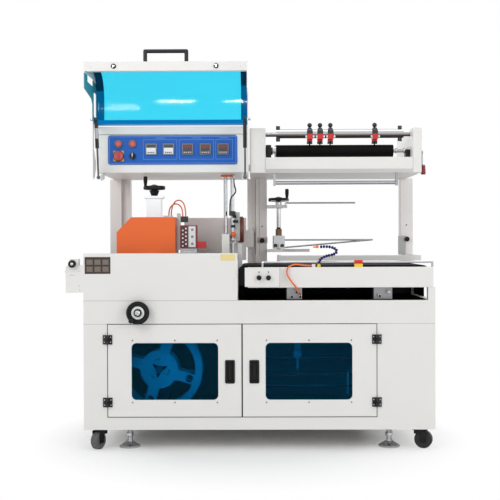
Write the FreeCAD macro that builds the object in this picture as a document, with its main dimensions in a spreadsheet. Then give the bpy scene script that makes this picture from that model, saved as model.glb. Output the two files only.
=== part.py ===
import FreeCAD, Part
import Sketcher
import math
import os
import re
from FreeCAD import Placement, Rotation, Vector

# Side sealer: a film sealing and cutting station in a packaging line.
# Frame: +X to the right along the product flow, +Y to the back, +Z up, floor at Z = 0.
# The origin is under the middle of the whole machine, with its hood open.

# Driving sizes, in millimetres and degrees
sizes = {
    # Cabinet and its doors
    "body_left": -708.5, "body_front": -313, "body_width": 1500, "body_depth": 850, "base_height": 90,
    "cabinet_height": 552,
    "sheet_wall": 14, "door_left_offset": 104, "door_width": 570, "door_split": 6, "door_low": 56,
    "door_tall": 394,
    "door_thick": 18, "door_gap": 2, "door_skin": 3, "door_rim": 16, "frame_lip": 12,
    "divider_wide": 30,
    "window_wide": 370, "window_tall": 243, "window_side": 101, "window_low": 72, "window_radius": 21,
    "pane_lap": 14, "pane_thick": 5,
    "pull_wide": 42, "pull_tall": 100, "pull_edge": 28, "pull_low": 142, "pull_flange": 3, "pull_lip": 4,
    "pull_deep": 13,
    "hinge_size": 40, "hinge_thick": 4, "hinge_pin": 3, "hinge_eye": 6, "hinge_low": 42, "hinge_high": 310,
    "hinge_gap": 0.4,
    # Feet and casters
    "foot_radius": 46, "foot_tall": 24, "foot_boss": 13, "stem_radius": 11, "nut_radius": 17,
    "nut_tall": 12, "foot_in_x": 185, "foot_in_y": 90,
    "caster_radius": 38, "caster_wide": 32, "caster_trail": 26, "caster_plate": 70,
    "caster_plate_thick": 4, "caster_in": 66, "caster_back": 62,
    "caster_turn_left": -25, "caster_turn_right": 70,
    "fork_wall": 5, "axle_radius": 5, "wheel_clear": 0.5, "running": 0.05, "swivel_tall": 7,
    "swivel_gap": 0.3,
    # Front housing, side seal bed and infeed
    "housing_width": 658, "housing_height": 202, "housing_deep": 60, "housing_edge": 5,
    "infeed_wide": 75, "infeed_tall": 117, "infeed_low": 35, "infeed_deep": 50, "infeed_cut": 9,
    "belt_level": 790, "belt_thick": 4, "drum_radius": 24, "drum_shaft": 8, "bed_clear": 1, "bed_drop": 30,
    "cross_rail_1": 180, "cross_rail_2": 500, "cross_rail_3": 870, "cross_rail_4": 1240,
    "cross_rail_wide_1": 60, "cross_rail_wide_2": 60, "cross_rail_wide_3": 66, "cross_rail_wide_4": 86,
    "infeed_belt_front": 72, "infeed_belt_wide": 420, "infeed_belt_start": -60, "infeed_belt_long": 630,
    "outfeed_belt_front": 44, "outfeed_belt_wide": 440, "outfeed_belt_start": 660, "outfeed_belt_long": 822,
    "beam_left": 702, "beam_width": 790, "beam_height": 87, "beam_low": 54, "beam_thick": 30,
    "rail_y": 300, "rail_thick": 22, "rail_height": 24, "rail_above": 14, "rail_start": 838,
    "rail_end": 1492,
    "rod_radius": 4.5, "rod_above": 14, "rod_front": 22, "rod_start": 766,
    "marker_start": 1157, "marker_wide": 35, "marker_deep": 14, "marker_tall": 30,
    "switch_box_wide": 148, "switch_box_tall": 80, "switch_box_deep": 46, "switch_box_start": 690,
    "knob_radius": 10.5, "knob_long": 16, "knob_step": 40,
    # Posts and control box
    "post_face": 54, "post_side": 40, "post_depth": 80, "post_step": 26, "post_y": 520, "post_left_x": 35,
    "post_centre_x": 696, "post_right_x": 1435,
    "post_height": 552, "right_post_face": 56,
    "box_left": 52, "box_width": 650, "box_front": 76, "box_depth": 510, "box_low": 1194,
    "box_height": 199, "box_lid": 32, "box_round": 6,
    "panel_in": 45, "panel_low": 34, "panel_width": 561, "panel_height": 127, "panel_thick": 3,
    "panel_radius": 11,
    "dial_in": 46, "dial_step": 61, "pilot_up": 90, "switch_up": 37, "pilot_radius": 13,
    "bezel_radius": 16.5, "bezel_thick": 8,
    "plate_size": 46, "plate_thick": 4, "dial_radius": 20, "dial_deep": 15, "selector_radius": 14,
    "button_proud": 2,
    "meter_size": 48, "meter_deep": 8, "timer_in": 164, "timer_step": 75, "control_in": 321.5,
    "control_step": 77,
    # Hood
    "hood_wall": 3, "hood_gap": 1, "pivot_back": 118.5, "pivot_high": 1216.5, "pivot_radius": 8,
    "pivot_boss": 20,
    "bar_reach": 224, "bar_tall": 38, "bar_thick": 26, "hood_top": 1618, "hood_back": 70,
    "sheet_low": 1404, "sheet_thick": 4, "bend": 110,
    "strut_front": 35, "strut_wide": 23, "strut_low": 1160, "slot_front": 157, "slot_long": 129,
    "slot_low": 1549, "slot_tall": 30,
    "tie_low": 1398, "tie_tall": 28, "hood_window": 65, "hood_window_top": 1530,
    "handle_span": 166, "handle_rise": 51, "handle_radius": 8,
    "bumper_radius": 10, "bumper_long": 6, "bumper_left": 116, "bumper_right": 528,
    "spring_radius": 8, "spring_rod": 4, "spring_tube": 122, "eye_radius": 8, "spring_in": 10,
    "rod_inside": 5, "top_eye_y": -24, "top_eye_z": 1412,
    "low_eye_y": 31, "low_eye_z": 1170, "stud_radius": 3, "bracket_thick": 3,
    # Film rack, its rollers and the hole punches
    "rack_gap": 9, "rack_left_wide": 70, "rack_right_wide": 40, "rack_front": 107, "rack_depth": 480,
    "rack_low": 1194, "rack_high": 1388,
    "rack_inside": 642, "rack_wall": 4, "beam_face": 50, "rack_sill": 16,
    "bar_y": 190, "bar_z": 1372, "bar_radius": 20, "bar_start": 48, "bar_long": 566,
    "roll_y": 198, "roll_z": 1296, "roll_radius": 27, "roll_start": 40, "roll_long": 528, "roll_shaft": 9,
    "guide_y": 150, "guide_z": 1152, "guide_radius": 8.5, "guide_start": 44, "guide_long": 528,
    "guide_axle": 5,
    "hanger_wide": 10, "hanger_deep": 26,
    "star_radius": 9, "star_tall": 16, "shank_radius": 4,
    "punch_1": 197, "punch_2": 243, "punch_3": 289, "punch_4": 486,
    "punch_wide": 24, "punch_shank": 18, "punch_gap": 0.05, "punch_tail": 12, "punch_wall": 7,
    "needle_radius": 9, "needle_wide": 6, "needle_axle": 2.5, "punch_ball": 10.5, "needle_lift": 0.4,
    "lever_long": 62, "lever_rod": 3.5, "lever_grip": 11, "grip_long": 44, "lever_y": 150, "lever_z": 1284,
    "lever_boss": 10, "lever_pin": 4,
    # Sealing head, its screw and its cover
    "guard_left": 128.5, "guard_wide": 256, "guard_front": 100, "guard_deep": 174, "guard_low": 839,
    "guard_tall": 162,
    "guard_cut_x": 64, "guard_cut_z": 66, "guard_wall": 3,
    "wheel_radius": 49, "wheel_rim": 9, "wheel_web": 5, "wheel_hub": 15, "wheel_tall": 24,
    "crank_radius": 9, "crank_long": 44, "crank_in": 9,
    "crank_pin": 3, "crank_neck": 4,
    "head_x": 280, "head_y": 232, "head_body": 66, "head_plate": 86, "head_plate_thick": 10,
    "head_body_top": 1088, "head_shaft": 7,
    "column_clear": 0.6, "base_gap": 3, "base_thick": 14,
    "rear_plate_left": 402, "rear_plate_wide": 290, "rear_plate_y": 392, "rear_plate_thick": 8,
    "rear_plate_low": 806, "rear_plate_tall": 198,
    "sensor_left": 402, "sensor_wide": 74, "sensor_low": 864, "sensor_tall": 102, "sensor_deep": 60,
    "sensor_y": 146,
    "backing_wide": 17, "backing_low": 856, "backing_tall": 164, "backing_thick": 12, "backing_y": 188,
    # Cross jaw
    "jaw_x": 600, "jaw_y": 250, "jaw_step": 31, "jaw_rod": 8.5, "cap_wide": 62, "cap_tall": 10,
    "jaw_block_wide": 32, "jaw_wall": 3.5,
    "jaw_block_low": 834, "jaw_block_tall": 92, "jaw_front": 40, "jaw_deep": 272, "anvil_wide": 52,
    "anvil_top": 796,
    "disc_radius": 60, "disc_thick": 30, "disc_left": 652, "disc_z": 948, "disc_y": 322,
    # Film guide with its screw
    "guide_x": 846, "screw_y": 500, "screw_radius": 10, "screw_low": 842, "screw_high": 1066,
    "nut_wide": 58, "nut_deep": 50,
    "nut_low": 858, "block_tall": 62, "sleeve_radius": 15, "sleeve_tall": 32, "arm_thick": 14,
    "guide_rod": 4,
    "upper_rod_long": 332, "lower_rod_long": 420, "fork_drop": 36, "plate_arm_wide": 206,
    # Scrap film reel
    "reel_radius": 190, "reel_rim": 30, "reel_hub": 84, "reel_thick": 8, "reel_x": 310, "reel_z": 332,
    "reel_y": 120, "reel_gap": 90, "reel_core": 42,
    "spoke_wide": 46, "spoke_hole": 17, "spindle_radius": 16, "star_arm": 46, "star_wide": 26,
    "reel_turn": -17,
    # Front handwheel
    "front_wheel_x": 236, "front_wheel_z": 592, "front_wheel_gap": 16,
    # Hoses and cable
    "hose_size": 12, "tube_size": 6, "beam_tube_size": 7, "cable_size": 6, "fitting_radius": 7,
}

doc = FreeCAD.newDocument("SideSealer")
sheet = doc.addObject("Spreadsheet::Sheet", "Sizes")
for row, (alias, number) in enumerate(sizes.items(), 1):
    sheet.set(f"A{row}", alias)
    sheet.set(f"B{row}", str(number))
    sheet.setAlias(f"B{row}", alias)
doc.recompute()

nodes = {}
TURN = {"Z": Rotation(), "X": Rotation(Vector(0, 1, 0), 90), "Y": Rotation(Vector(1, 0, 0), -90),
        "-Y": Rotation(Vector(1, 0, 0), 90)}


def bound(text):
    """Point every word of an expression that names a size at its cell."""
    return re.sub(r"[a-z][a-z0-9_]+", lambda word: "Sizes." + word[0] if word[0] in sizes else word[0], text)


def bind(target, path, text):
    target.setExpression(path, bound(str(text)))


def put_at(target, place, turn=None):
    """Place an object: the turn is fixed and the three coordinates follow the sheet."""
    if turn is not None:
        target.Placement = Placement(Vector(), turn)
    for letter, text in zip("xyz", place):
        bind(target, f"Placement.Base.{letter}", text)
    return target


def box(x, y, z, wide, deep, tall):
    block = doc.addObject("Part::Box", "Block")
    bind(block, "Length", wide)
    bind(block, "Width", deep)
    bind(block, "Height", tall)
    return put_at(block, (x, y, z))


def rod(axis, x, y, z, radius, length, turn=None):
    """A cylinder that starts at the point and runs along +axis."""
    bar = doc.addObject("Part::Cylinder", "Rod")
    bind(bar, "Radius", radius)
    bind(bar, "Height", length)
    return put_at(bar, (x, y, z), turn or TURN[axis])


def ball(x, y, z, radius):
    knob = doc.addObject("Part::Sphere", "Ball")
    bind(knob, "Radius", radius)
    return put_at(knob, (x, y, z))


def cone(axis, x, y, z, first, last, length):
    taper = doc.addObject("Part::Cone", "Taper")
    bind(taper, "Radius1", first)
    bind(taper, "Radius2", last)
    bind(taper, "Height", length)
    return put_at(taper, (x, y, z), TURN[axis])


def fuse(*pieces):
    whole = doc.addObject("Part::MultiFuse", "Joined")
    whole.Shapes = list(pieces)
    whole.Refine = True
    return whole


def cut(base, *tools):
    result = doc.addObject("Part::Cut", "Opened")
    result.Base = base
    result.Tool = tools[0] if len(tools) == 1 else fuse(*tools)
    return result


def rounded(base, axis, radius, keep=None):
    """Round the straight edges of a solid that run along one axis."""
    doc.recompute()
    along = {"X": Vector(1, 0, 0), "Y": Vector(0, 1, 0), "Z": Vector(0, 0, 1)}[axis]
    chosen = []
    for number, edge in enumerate(base.Shape.Edges, 1):
        if edge.Curve.TypeId != "Part::GeomLine":
            continue
        if abs(abs(edge.tangentAt(edge.FirstParameter).dot(along)) - 1) > 1e-6:
            continue
        if keep is None or keep(edge.CenterOfMass, base.Shape.BoundBox):
            chosen.append((number, radius, radius))
    result = doc.addObject("Part::Fillet", "Rounded")
    result.Base = base
    result.Edges = chosen
    return result


def sketch_of(body, role, points):
    """A closed outline of straight sides, each corner held by two bound distances."""
    sketch = body.newObject("Sketcher::SketchObject", "Outline")
    plane = [item for item in body.Origin.OriginFeatures if item.Role == role][0]
    sketch.AttachmentSupport = [(plane, "")]
    sketch.MapMode = "FlatFace"
    count = len(points)
    start = [Vector(100 * math.cos(2 * math.pi * i / count), 100 * math.sin(2 * math.pi * i / count), 0)
             for i in range(count)]
    for i in range(count):
        sketch.addGeometry(Part.LineSegment(start[i], start[(i + 1) % count]), False)
    for i in range(count):
        sketch.addConstraint(Sketcher.Constraint("Coincident", i, 2, (i + 1) % count, 1))
    for i in range(count):
        for kind, text, number in (("DistanceX", points[i][0], start[i].x), ("DistanceY", points[i][1], start[i].y)):
            index = sketch.addConstraint(Sketcher.Constraint(kind, -1, 1, i, 1, number or 1))
            bind(sketch, f"Constraints[{index}]", text)
    return sketch


def plate(role, points, thick, place):
    """A padded outline. The outline's two axes are the plane's, and it grows along the plane's normal."""
    body = doc.addObject("PartDesign::Body", "Plate")
    pad = body.newObject("PartDesign::Pad", "Pad")
    pad.Profile = sketch_of(body, role, points)
    bind(pad, "Length", thick)
    body.Tip = pad
    return put_at(body, place)


def lathe(axis, points, place):
    """A turned piece: corners are (radius, height) pairs, and the height runs along +axis."""
    body = doc.addObject("PartDesign::Body", "Turned")
    spin = body.newObject("PartDesign::Revolution", "Spin")
    sketch = sketch_of(body, "XZ_Plane", points)
    spin.Profile = sketch
    spin.ReferenceAxis = (sketch, ["V_Axis"])
    spin.Angle = 360
    body.Tip = spin
    return put_at(body, place, TURN[axis])


def node(label, *pieces):
    """Give pieces to a sub-part; one sub-part may be given pieces by several steps."""
    nodes.setdefault(label, []).extend(pieces)


# Cabinet: a folded sheet box, open behind its two doors, with a divider and a shelf bar
LEFT, FRONT, BASE = "body_left", "body_front", "base_height"
RIGHT = f"{LEFT} + body_width"
TOP = f"{BASE} + cabinet_height"
DOOR_X = [f"{LEFT} + door_left_offset", f"{LEFT} + door_left_offset + door_width + door_split"]
DOOR_Z = f"{BASE} + door_low"


def cabinet():
    shell = box(LEFT, FRONT, BASE, "body_width", "body_depth", "cabinet_height")
    room = box(f"{LEFT} + sheet_wall", f"{FRONT} + door_thick + sheet_wall", f"{BASE} + sheet_wall",
               "body_width - 2 * sheet_wall", "body_depth - door_thick - 2 * sheet_wall",
               "cabinet_height - 2 * sheet_wall")
    recess = box(f"{DOOR_X[0]} - door_gap", f"{FRONT} - 1", f"{DOOR_Z} - door_gap",
                 "2 * door_width + door_split + 2 * door_gap", "door_thick + 1.3", "door_tall + 2 * door_gap")
    tools = [room, recess]
    for x in DOOR_X:
        tools.append(box(f"{x} + frame_lip", f"{FRONT}", f"{DOOR_Z} + frame_lip", "door_width - 2 * frame_lip",
                         "door_thick + sheet_wall + 1", "door_tall - 2 * frame_lip"))
    for side in (0, 1):
        for end in (0, 1):
            x = f"{LEFT} + foot_in_x" if side == 0 else f"{RIGHT} - foot_in_x"
            y = f"{FRONT} + foot_in_y" if end == 0 else f"{FRONT} + body_depth - foot_in_y"
            tools.append(rod("Z", x, y, f"{BASE} - 1", "stem_radius + 0.05", "sheet_wall + 2"))
    tools.append(rod("Y", f"{LEFT} + front_wheel_x", f"{FRONT} - 1", "front_wheel_z", "head_shaft + running",
                     "door_thick + sheet_wall + 2"))
    node("cabinet", cut(shell, *tools))


def divider():
    x = f"{DOOR_X[1]} - door_split / 2 - divider_wide / 2"
    wall = box(x, f"{FRONT} + door_thick + sheet_wall", f"{BASE} + sheet_wall", "divider_wide",
               "body_depth - door_thick - 2 * sheet_wall", "cabinet_height - 2 * sheet_wall")
    node("cabinet", wall)


def door(side, name):
    """A tray of thin sheet with a rim behind it, a window and a hole for the pull."""
    x = DOOR_X[side]
    window_x = f"{x} + window_side" if side == 0 else f"{x} + door_width - window_side - window_wide - 2"
    window_z = f"{DOOR_Z} + window_low"
    pull_x = f"{x} + door_width - pull_edge - pull_wide" if side == 0 else f"{x} + pull_edge"
    tray = box(x, FRONT, DOOR_Z, "door_width", "door_thick", "door_tall")
    hollow = box(f"{x} + door_rim", f"{FRONT} + door_skin", f"{DOOR_Z} + door_rim", "door_width - 2 * door_rim",
                 "door_thick", "door_tall - 2 * door_rim")
    window = rounded(box(window_x, f"{FRONT} - 1", window_z, "window_wide", "door_thick", "window_tall"),
                     "Y", sizes["window_radius"])
    grip = box(f"{pull_x} + pull_lip", f"{FRONT} - 1", f"{DOOR_Z} + pull_low + pull_lip", "pull_wide - 2 * pull_lip",
               "door_thick", "pull_tall - 2 * pull_lip")
    node(f"{name}_door", cut(tray, hollow, window, grip))
    pane = box(f"{window_x} - pane_lap", f"{FRONT} + door_skin", f"{window_z} - pane_lap",
               "window_wide + 2 * pane_lap", "pane_thick", "window_tall + 2 * pane_lap")
    node(f"{name}_window", pane)
    cup = fuse(rounded(box(pull_x, f"{FRONT} - pull_flange", f"{DOOR_Z} + pull_low", "pull_wide", "pull_flange",
                           "pull_tall"), "Y", 6),
               box(f"{pull_x} + pull_lip", FRONT, f"{DOOR_Z} + pull_low + pull_lip", "pull_wide - 2 * pull_lip",
                   "pull_deep", "pull_tall - 2 * pull_lip"))
    hand = box(f"{pull_x} + 2 * pull_lip", f"{FRONT} - pull_flange - 1", f"{DOOR_Z} + pull_low + 2 * pull_lip",
               "pull_wide - 4 * pull_lip", "pull_deep + pull_flange - pull_lip + 1", "pull_tall - 4 * pull_lip")
    node(f"{name}_door_fittings", cut(cup, hand))


def hinges():
    """Surface hinges on the outer edge of each door: two eyes on the frame, one between them on the door."""
    frame_leaves = []
    for side, name in ((0, "left"), (1, "right")):
        edge = f"{DOOR_X[0]} - door_gap / 2" if side == 0 else f"{DOOR_X[1]} + door_width + door_gap / 2"
        door_leaves = []
        for low in ("hinge_low", "hinge_high"):
            z = f"{DOOR_Z} + {low}"
            half = "hinge_size / 2"
            leaf_y = f"{FRONT} - hinge_thick"
            axis_y = f"{FRONT} - hinge_eye - 0.3"
            away = f"{edge} - {half}" if side == 0 else f"{edge} + 1"
            near = f"{edge} + 1" if side == 0 else f"{edge} - {half}"
            outer = box(away, leaf_y, z, f"{half} - 1", "hinge_thick", "hinge_size")
            inner = box(near, leaf_y, z, f"{half} - 1", "hinge_thick", "hinge_size")
            relief = rod("Z", edge, axis_y, f"{z} - 1", "hinge_eye + hinge_gap", "hinge_size + 2")
            third = "hinge_size / 3"
            eyes = []
            for place in (z, f"{z} + 2 * {third}"):
                eyes.append(rod("Z", edge, axis_y, place, "hinge_eye", third))
            link = box(f"{edge} - hinge_eye" if side == 0 else edge, axis_y, z, "hinge_eye", "hinge_eye + 0.3",
                       "hinge_size")
            middle = box(f"{edge} - 2 * hinge_eye", f"{axis_y} - 2 * hinge_eye", f"{z} + {third} - hinge_gap",
                         "4 * hinge_eye", "4 * hinge_eye", f"{third} + 2 * hinge_gap")
            frame_leaf = fuse(cut(outer, relief), cut(fuse(*eyes, link), middle),
                              rod("Z", edge, axis_y, z, "hinge_pin", "hinge_size"))
            frame_leaves.append(frame_leaf)
            tongue = box(edge if side == 0 else f"{edge} - hinge_eye", axis_y, f"{z} + {third}", "hinge_eye",
                         "hinge_eye + 0.3", third)
            eye = cut(fuse(rod("Z", edge, axis_y, f"{z} + {third}", "hinge_eye", third), tongue, cut(inner, relief)),
                      rod("Z", edge, axis_y, f"{z} - 1", "hinge_pin + running", "hinge_size + 2"))
            door_leaves.append(eye)
        node(f"{name}_door_fittings", *door_leaves)
    node("steel_fittings", *frame_leaves)


def feet():
    pieces = []
    for side in (0, 1):
        for end in (0, 1):
            x = f"{LEFT} + foot_in_x" if side == 0 else f"{RIGHT} - foot_in_x"
            y = f"{FRONT} + foot_in_y" if end == 0 else f"{FRONT} + body_depth - foot_in_y"
            pieces.append(lathe("Z", [("0", "0"), ("foot_radius", "0"), ("foot_radius", "foot_tall / 3"),
                                      ("foot_boss + 4", "foot_tall"), ("foot_boss", "foot_tall"),
                                      ("foot_boss", "foot_tall + 8"), ("stem_radius", "foot_tall + 8"),
                                      ("stem_radius", f"{BASE} - nut_tall"), ("nut_radius", f"{BASE} - nut_tall"),
                                      ("nut_radius", BASE), ("stem_radius", BASE),
                                      ("stem_radius", f"{BASE} + sheet_wall + 10"),
                                      ("0", f"{BASE} + sheet_wall + 10")], (x, y, "0")))
    node("steel_fittings", *pieces)


def casters():
    """Four wheels under plates: the front forks swivel on a pin, the rear forks are rigid."""
    near, far = f"{FRONT} + caster_back", f"{FRONT} + body_depth - caster_back"
    left, right = f"{LEFT} + caster_in", f"{RIGHT} - caster_in"
    caster("front_left", left, near, sizes["caster_turn_left"], True)
    caster("front_right", right, near, sizes["caster_turn_right"], True)
    caster("rear_left", left, far, 0, False)
    caster("rear_right", right, far, 0, False)


def caster(name, x, y, turn, swivels):
    """One caster, drawn round its swivel axis with the wheel trailing to the front, then turned."""
    hub_z = "(caster_radius + wheel_clear)"
    plate_z = f"{BASE} - caster_plate_thick"
    crown_z = f"{plate_z} - swivel_gap - swivel_tall"
    inner = "(caster_wide / 2 + wheel_clear)"
    outer = f"({inner} + fork_wall)"
    hub_y = "0 - caster_trail"

    def place(piece):
        return put_at(piece, (x, y, "0"), Rotation(Vector(0, 0, 1), turn))

    top = fuse(box("0 - caster_plate / 2", "0 - caster_plate / 2", plate_z, "caster_plate", "caster_plate",
                   "caster_plate_thick"),
               rod("Z", "0", "0", crown_z, "axle_radius", "swivel_tall + swivel_gap + 1"))
    node("steel_fittings", put_at(top, (x, y, "0")))
    fork = [rod("Z", "0", "0", crown_z, "caster_plate / 2 - 8", "swivel_tall"),
            box(f"0 - {outer}", hub_y, crown_z, f"2 * {outer}", "caster_trail", "swivel_tall - 2"),
            rod("X", f"0 - {outer} - 3", hub_y, hub_z, "axle_radius", f"2 * {outer} + 6")]
    for at in (f"0 - {outer}", inner):
        fork.append(box(at, f"{hub_y} - 14", f"{hub_z} - 12", "fork_wall", "28", f"{crown_z} - {hub_z} + 14"))
        fork.append(box(at, hub_y, f"{crown_z} - 16", "fork_wall", "caster_trail + 12", "18"))
    if swivels:
        bore = rod("Z", "0", "0", f"{crown_z} - 1", "axle_radius + running", "swivel_tall + 2")
        node(f"{name}_caster_fork", place(cut(fuse(*fork), bore)))
    else:
        neck = rod("Z", "0", "0", crown_z, "caster_plate / 2 - 8", "swivel_tall + swivel_gap")
        node("steel_fittings", place(fuse(neck, *fork)))
    tread = lathe("X", [("0", "0"), ("caster_radius - 4", "0"), ("caster_radius", "4"),
                        ("caster_radius", "caster_wide - 4"), ("caster_radius - 4", "caster_wide"),
                        ("0", "caster_wide")], ("0 - caster_wide / 2", hub_y, hub_z))
    bore = rod("X", "0 - caster_wide", hub_y, hub_z, "axle_radius + running", "2 * caster_wide")
    node(f"{name}_caster_wheel", place(cut(tread, bore)))


# Side seal bed: a front housing and the infeed conveyor behind it, the outfeed conveyor on the right
INFEED_X = f"{LEFT} + infeed_belt_start"
OUTFEED_X = f"{LEFT} + outfeed_belt_start"


def front_housing():
    """A channel of folded sheet with a rounded top edge, closed at its left end."""
    shell = box(LEFT, FRONT, TOP, "housing_width", "housing_deep", "housing_height")
    round_shell = rounded(shell, "X", sizes["housing_edge"], lambda c, b: c.z > b.ZMax - 1)
    hollow = box(f"{LEFT} + sheet_wall / 2", f"{FRONT} + sheet_wall / 2", f"{TOP} - 1",
                 "housing_width - sheet_wall", "housing_deep - sheet_wall", "housing_height - sheet_wall / 2 + 1")
    node("front_housing", cut(round_shell, hollow))


def infeed_end():
    """The small case on the left end, with a cut corner and two round knob bosses."""
    x = f"{LEFT} - infeed_wide"
    low = f"{TOP} + infeed_low"
    case = plate("XZ_Plane", [("0", "0"), ("infeed_wide", "0"), ("infeed_wide", "infeed_tall"),
                              ("infeed_cut", "infeed_tall"), ("0", "infeed_tall - infeed_cut")],
                 "infeed_deep", (x, f"{FRONT} + infeed_deep", low))
    boss_z = f"{low} + infeed_tall + 6"
    boss = box(f"{x} + 18", f"{FRONT}", f"{low} + infeed_tall", "36", "40", "26")
    bolt = rod("X", f"{x} - 8", f"{FRONT} + 30", f"{low} + infeed_tall - 27", "6", "8")
    node("front_housing", case, boss, bolt)
    knob = lathe("Y", [("0", "0"), ("7", "0"), ("9", "2"), ("16", "2"), ("16", "16"), ("head_shaft", "16"),
                       ("head_shaft", "20"), ("0", "20")], (f"{x} + 30", f"{FRONT} - 20.3", boss_z))
    node("infeed_knob", knob)


def conveyor(x, long, front, wide):
    """Two drums, a bed between them and a thin belt round all three."""
    axis_z = "belt_level - belt_thick - drum_radius"
    ends = (f"{x} + drum_radius + belt_thick", f"{x} + {long} - drum_radius - belt_thick")
    outer = rounded(box(x, front, f"{axis_z} - drum_radius - belt_thick", long, wide,
                        "2 * drum_radius + 2 * belt_thick"), "Y", sizes["drum_radius"] + sizes["belt_thick"] - 0.01)
    inner = rounded(box(f"{x} + belt_thick", f"{front} - 1", f"{axis_z} - drum_radius", f"{long} - 2 * belt_thick",
                        f"{wide} + 2", "2 * drum_radius"), "Y", sizes["drum_radius"] - 0.01)
    node("conveyor_belts", cut(outer, inner))
    for place in ends:
        drum = lathe("Y", [("0", "0 - 12"), ("drum_shaft", "0 - 12"), ("drum_shaft", "1"),
                           ("drum_radius - bed_clear / 2", "1"), ("drum_radius - bed_clear / 2", f"{wide} - 1"),
                           ("drum_shaft", f"{wide} - 1"), ("drum_shaft", f"{wide} + 12"), ("0", f"{wide} + 12")],
                     (place, front, axis_z))
        node("conveyor_beds", drum)
    bed = box(f"{x} + 2 * drum_radius + belt_thick + 6", f"{front} + 4", f"{axis_z} - drum_radius",
              f"{long} - 4 * drum_radius - 2 * belt_thick - 12", f"{wide} - 8", "2 * drum_radius")
    sides = []
    for y in (f"{front} - 12", f"{front} + {wide} + 4"):
        side = box(f"{x} + 4", y, f"{axis_z} - drum_radius - belt_thick - bed_drop", f"{long} - 8", "8",
                   "2 * drum_radius + belt_thick + bed_drop - 8")
        bores = [rod("Y", place, f"{y} - 1", axis_z, "drum_shaft + running", "10") for place in ends]
        sides.append(cut(side, *bores))
    ties = []
    for part in (0.25, 0.75):
        ties.append(box(f"{x} + {part} * {long} - 15", f"{front} - 12", f"{axis_z} - drum_radius - belt_thick - bed_drop",
                        "30", f"{wide} + 24", "18"))
        ties.append(rod("Y", f"{x} + {part} * {long}", f"{front} - 12", axis_z, "8", f"{wide} + 24"))
    node("conveyor_beds", bed, *sides, *ties)


def outfeed_frame():
    """The front beam with its switch box, the cross rails under the bed and the end plate."""
    beam_z = f"{TOP} + beam_low"
    x = f"{LEFT} + beam_left"
    y = FRONT
    beam = rounded(box(x, y, beam_z, "beam_width", "beam_thick", "beam_height"), "X", 3)
    end = box(f"{RIGHT} - 30", y, TOP, "30", "36", "beam_low")
    rails = []
    under_bed = f"belt_level - 2 * belt_thick - 2 * drum_radius - bed_drop - ({TOP})"
    for number in (1, 2, 3, 4):
        rails.append(box(f"{LEFT} + cross_rail_{number}", f"{FRONT} + housing_deep + 4", TOP, f"cross_rail_wide_{number}",
                         "outfeed_belt_wide - 60", under_bed))
    rails.append(box(f"{OUTFEED_X} + 4", f"{FRONT} + outfeed_belt_front + outfeed_belt_wide + 4", TOP,
                     "outfeed_belt_long - 8", "8", under_bed))
    node("outfeed_beam", fuse(beam, end))
    node("conveyor_beds", *rails)
    case_x = f"{LEFT} + switch_box_start"
    case = rounded(box(case_x, f"{FRONT} - switch_box_deep + 10", f"{beam_z} + 6", "switch_box_wide",
                       "switch_box_deep - 10", "switch_box_tall"), "Y", 14,
                   lambda c, b: c.x > b.XMax - 1 and c.z < b.ZMin + 1)
    node("outfeed_beam", case)
    for number, name in ((0, "left"), (1, "right")):
        knob_x = f"{case_x} + 60 + {number} * knob_step"
        knob = lathe("Y", [("0", "0"), ("knob_radius - 2", "0"), ("knob_radius", "2"), ("knob_radius", "knob_long"),
                           ("0", "knob_long")],
                     (knob_x, f"{FRONT} - switch_box_deep + 10 - 0.3 - knob_long", f"{beam_z} + 44"))
        node(f"speed_knob_{name}", knob)


def product_guides():
    """The rear guide rail on two feet, and the thin bent rod along the front edge of the belt."""
    rail_x = f"{LEFT} + rail_start"
    long = "rail_end - rail_start"
    z = "belt_level + rail_above"
    rail = box(rail_x, f"{FRONT} + rail_y", z, long, "rail_thick", "rail_height")
    stands = []
    for place in (f"{rail_x}", f"{LEFT} + rail_end - 16"):
        stands.append(box(place, f"{FRONT} + rail_y", z, "16", "outfeed_belt_wide + 79.7 - rail_y", "rail_height"))
        stands.append(box(place, f"{FRONT} + outfeed_belt_front + outfeed_belt_wide + 12.3", TOP, "16", "23.4",
                          f"{z} + rail_height - ({TOP})"))
    node("outfeed_beam", rail, *stands)
    rod_z = f"belt_level + rod_above"
    start = f"{LEFT} + rod_start"
    far = f"{LEFT} + rail_end"
    beam_top = f"{TOP} + beam_low + beam_height"
    pieces = [rod("X", start, f"{FRONT} + rod_front", rod_z, "rod_radius", f"{far} - ({start})")]
    for place in (start, far):
        pieces.append(ball(place, f"{FRONT} + rod_front", rod_z, "rod_radius"))
        pieces.append(rod("Z", place, f"{FRONT} + rod_front", beam_top, "rod_radius", f"{rod_z} - ({beam_top})"))
    node("outfeed_beam", *pieces)
    marker = box(f"{LEFT} + marker_start", f"{FRONT} + 2", beam_top, "marker_wide", "marker_deep", "marker_tall")
    node("outfeed_beam", marker)


def posts():
    """Three folded posts; the left two have a second, deeper face on the side of the sealing head."""
    y = f"{FRONT} + post_y"
    deep_face = [("0", "0"), ("post_face", "0"), ("post_face", "post_step"), ("post_face + post_side", "post_step"),
                 ("post_face + post_side", "post_depth"), ("0", "post_depth")]
    left = plate("XY_Plane", deep_face, "post_height", (f"{LEFT} + post_left_x", y, TOP))
    mirror = [("0", "post_step"), ("post_side", "post_step"), ("post_side", "0"), ("post_face + post_side", "0"),
              ("post_face + post_side", "post_depth"), ("0", "post_depth")]
    centre = plate("XY_Plane", mirror, "post_height", (f"{LEFT} + post_centre_x", y, TOP))
    right = box(f"{LEFT} + post_right_x", y, TOP, "right_post_face", "post_depth", "post_height")
    node("frame_posts", left, centre, right)


BOX_X = f"{LEFT} + box_left"
BOX_Y = f"{FRONT} + box_front"
BOX_TOP = "box_low + box_height"


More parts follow.
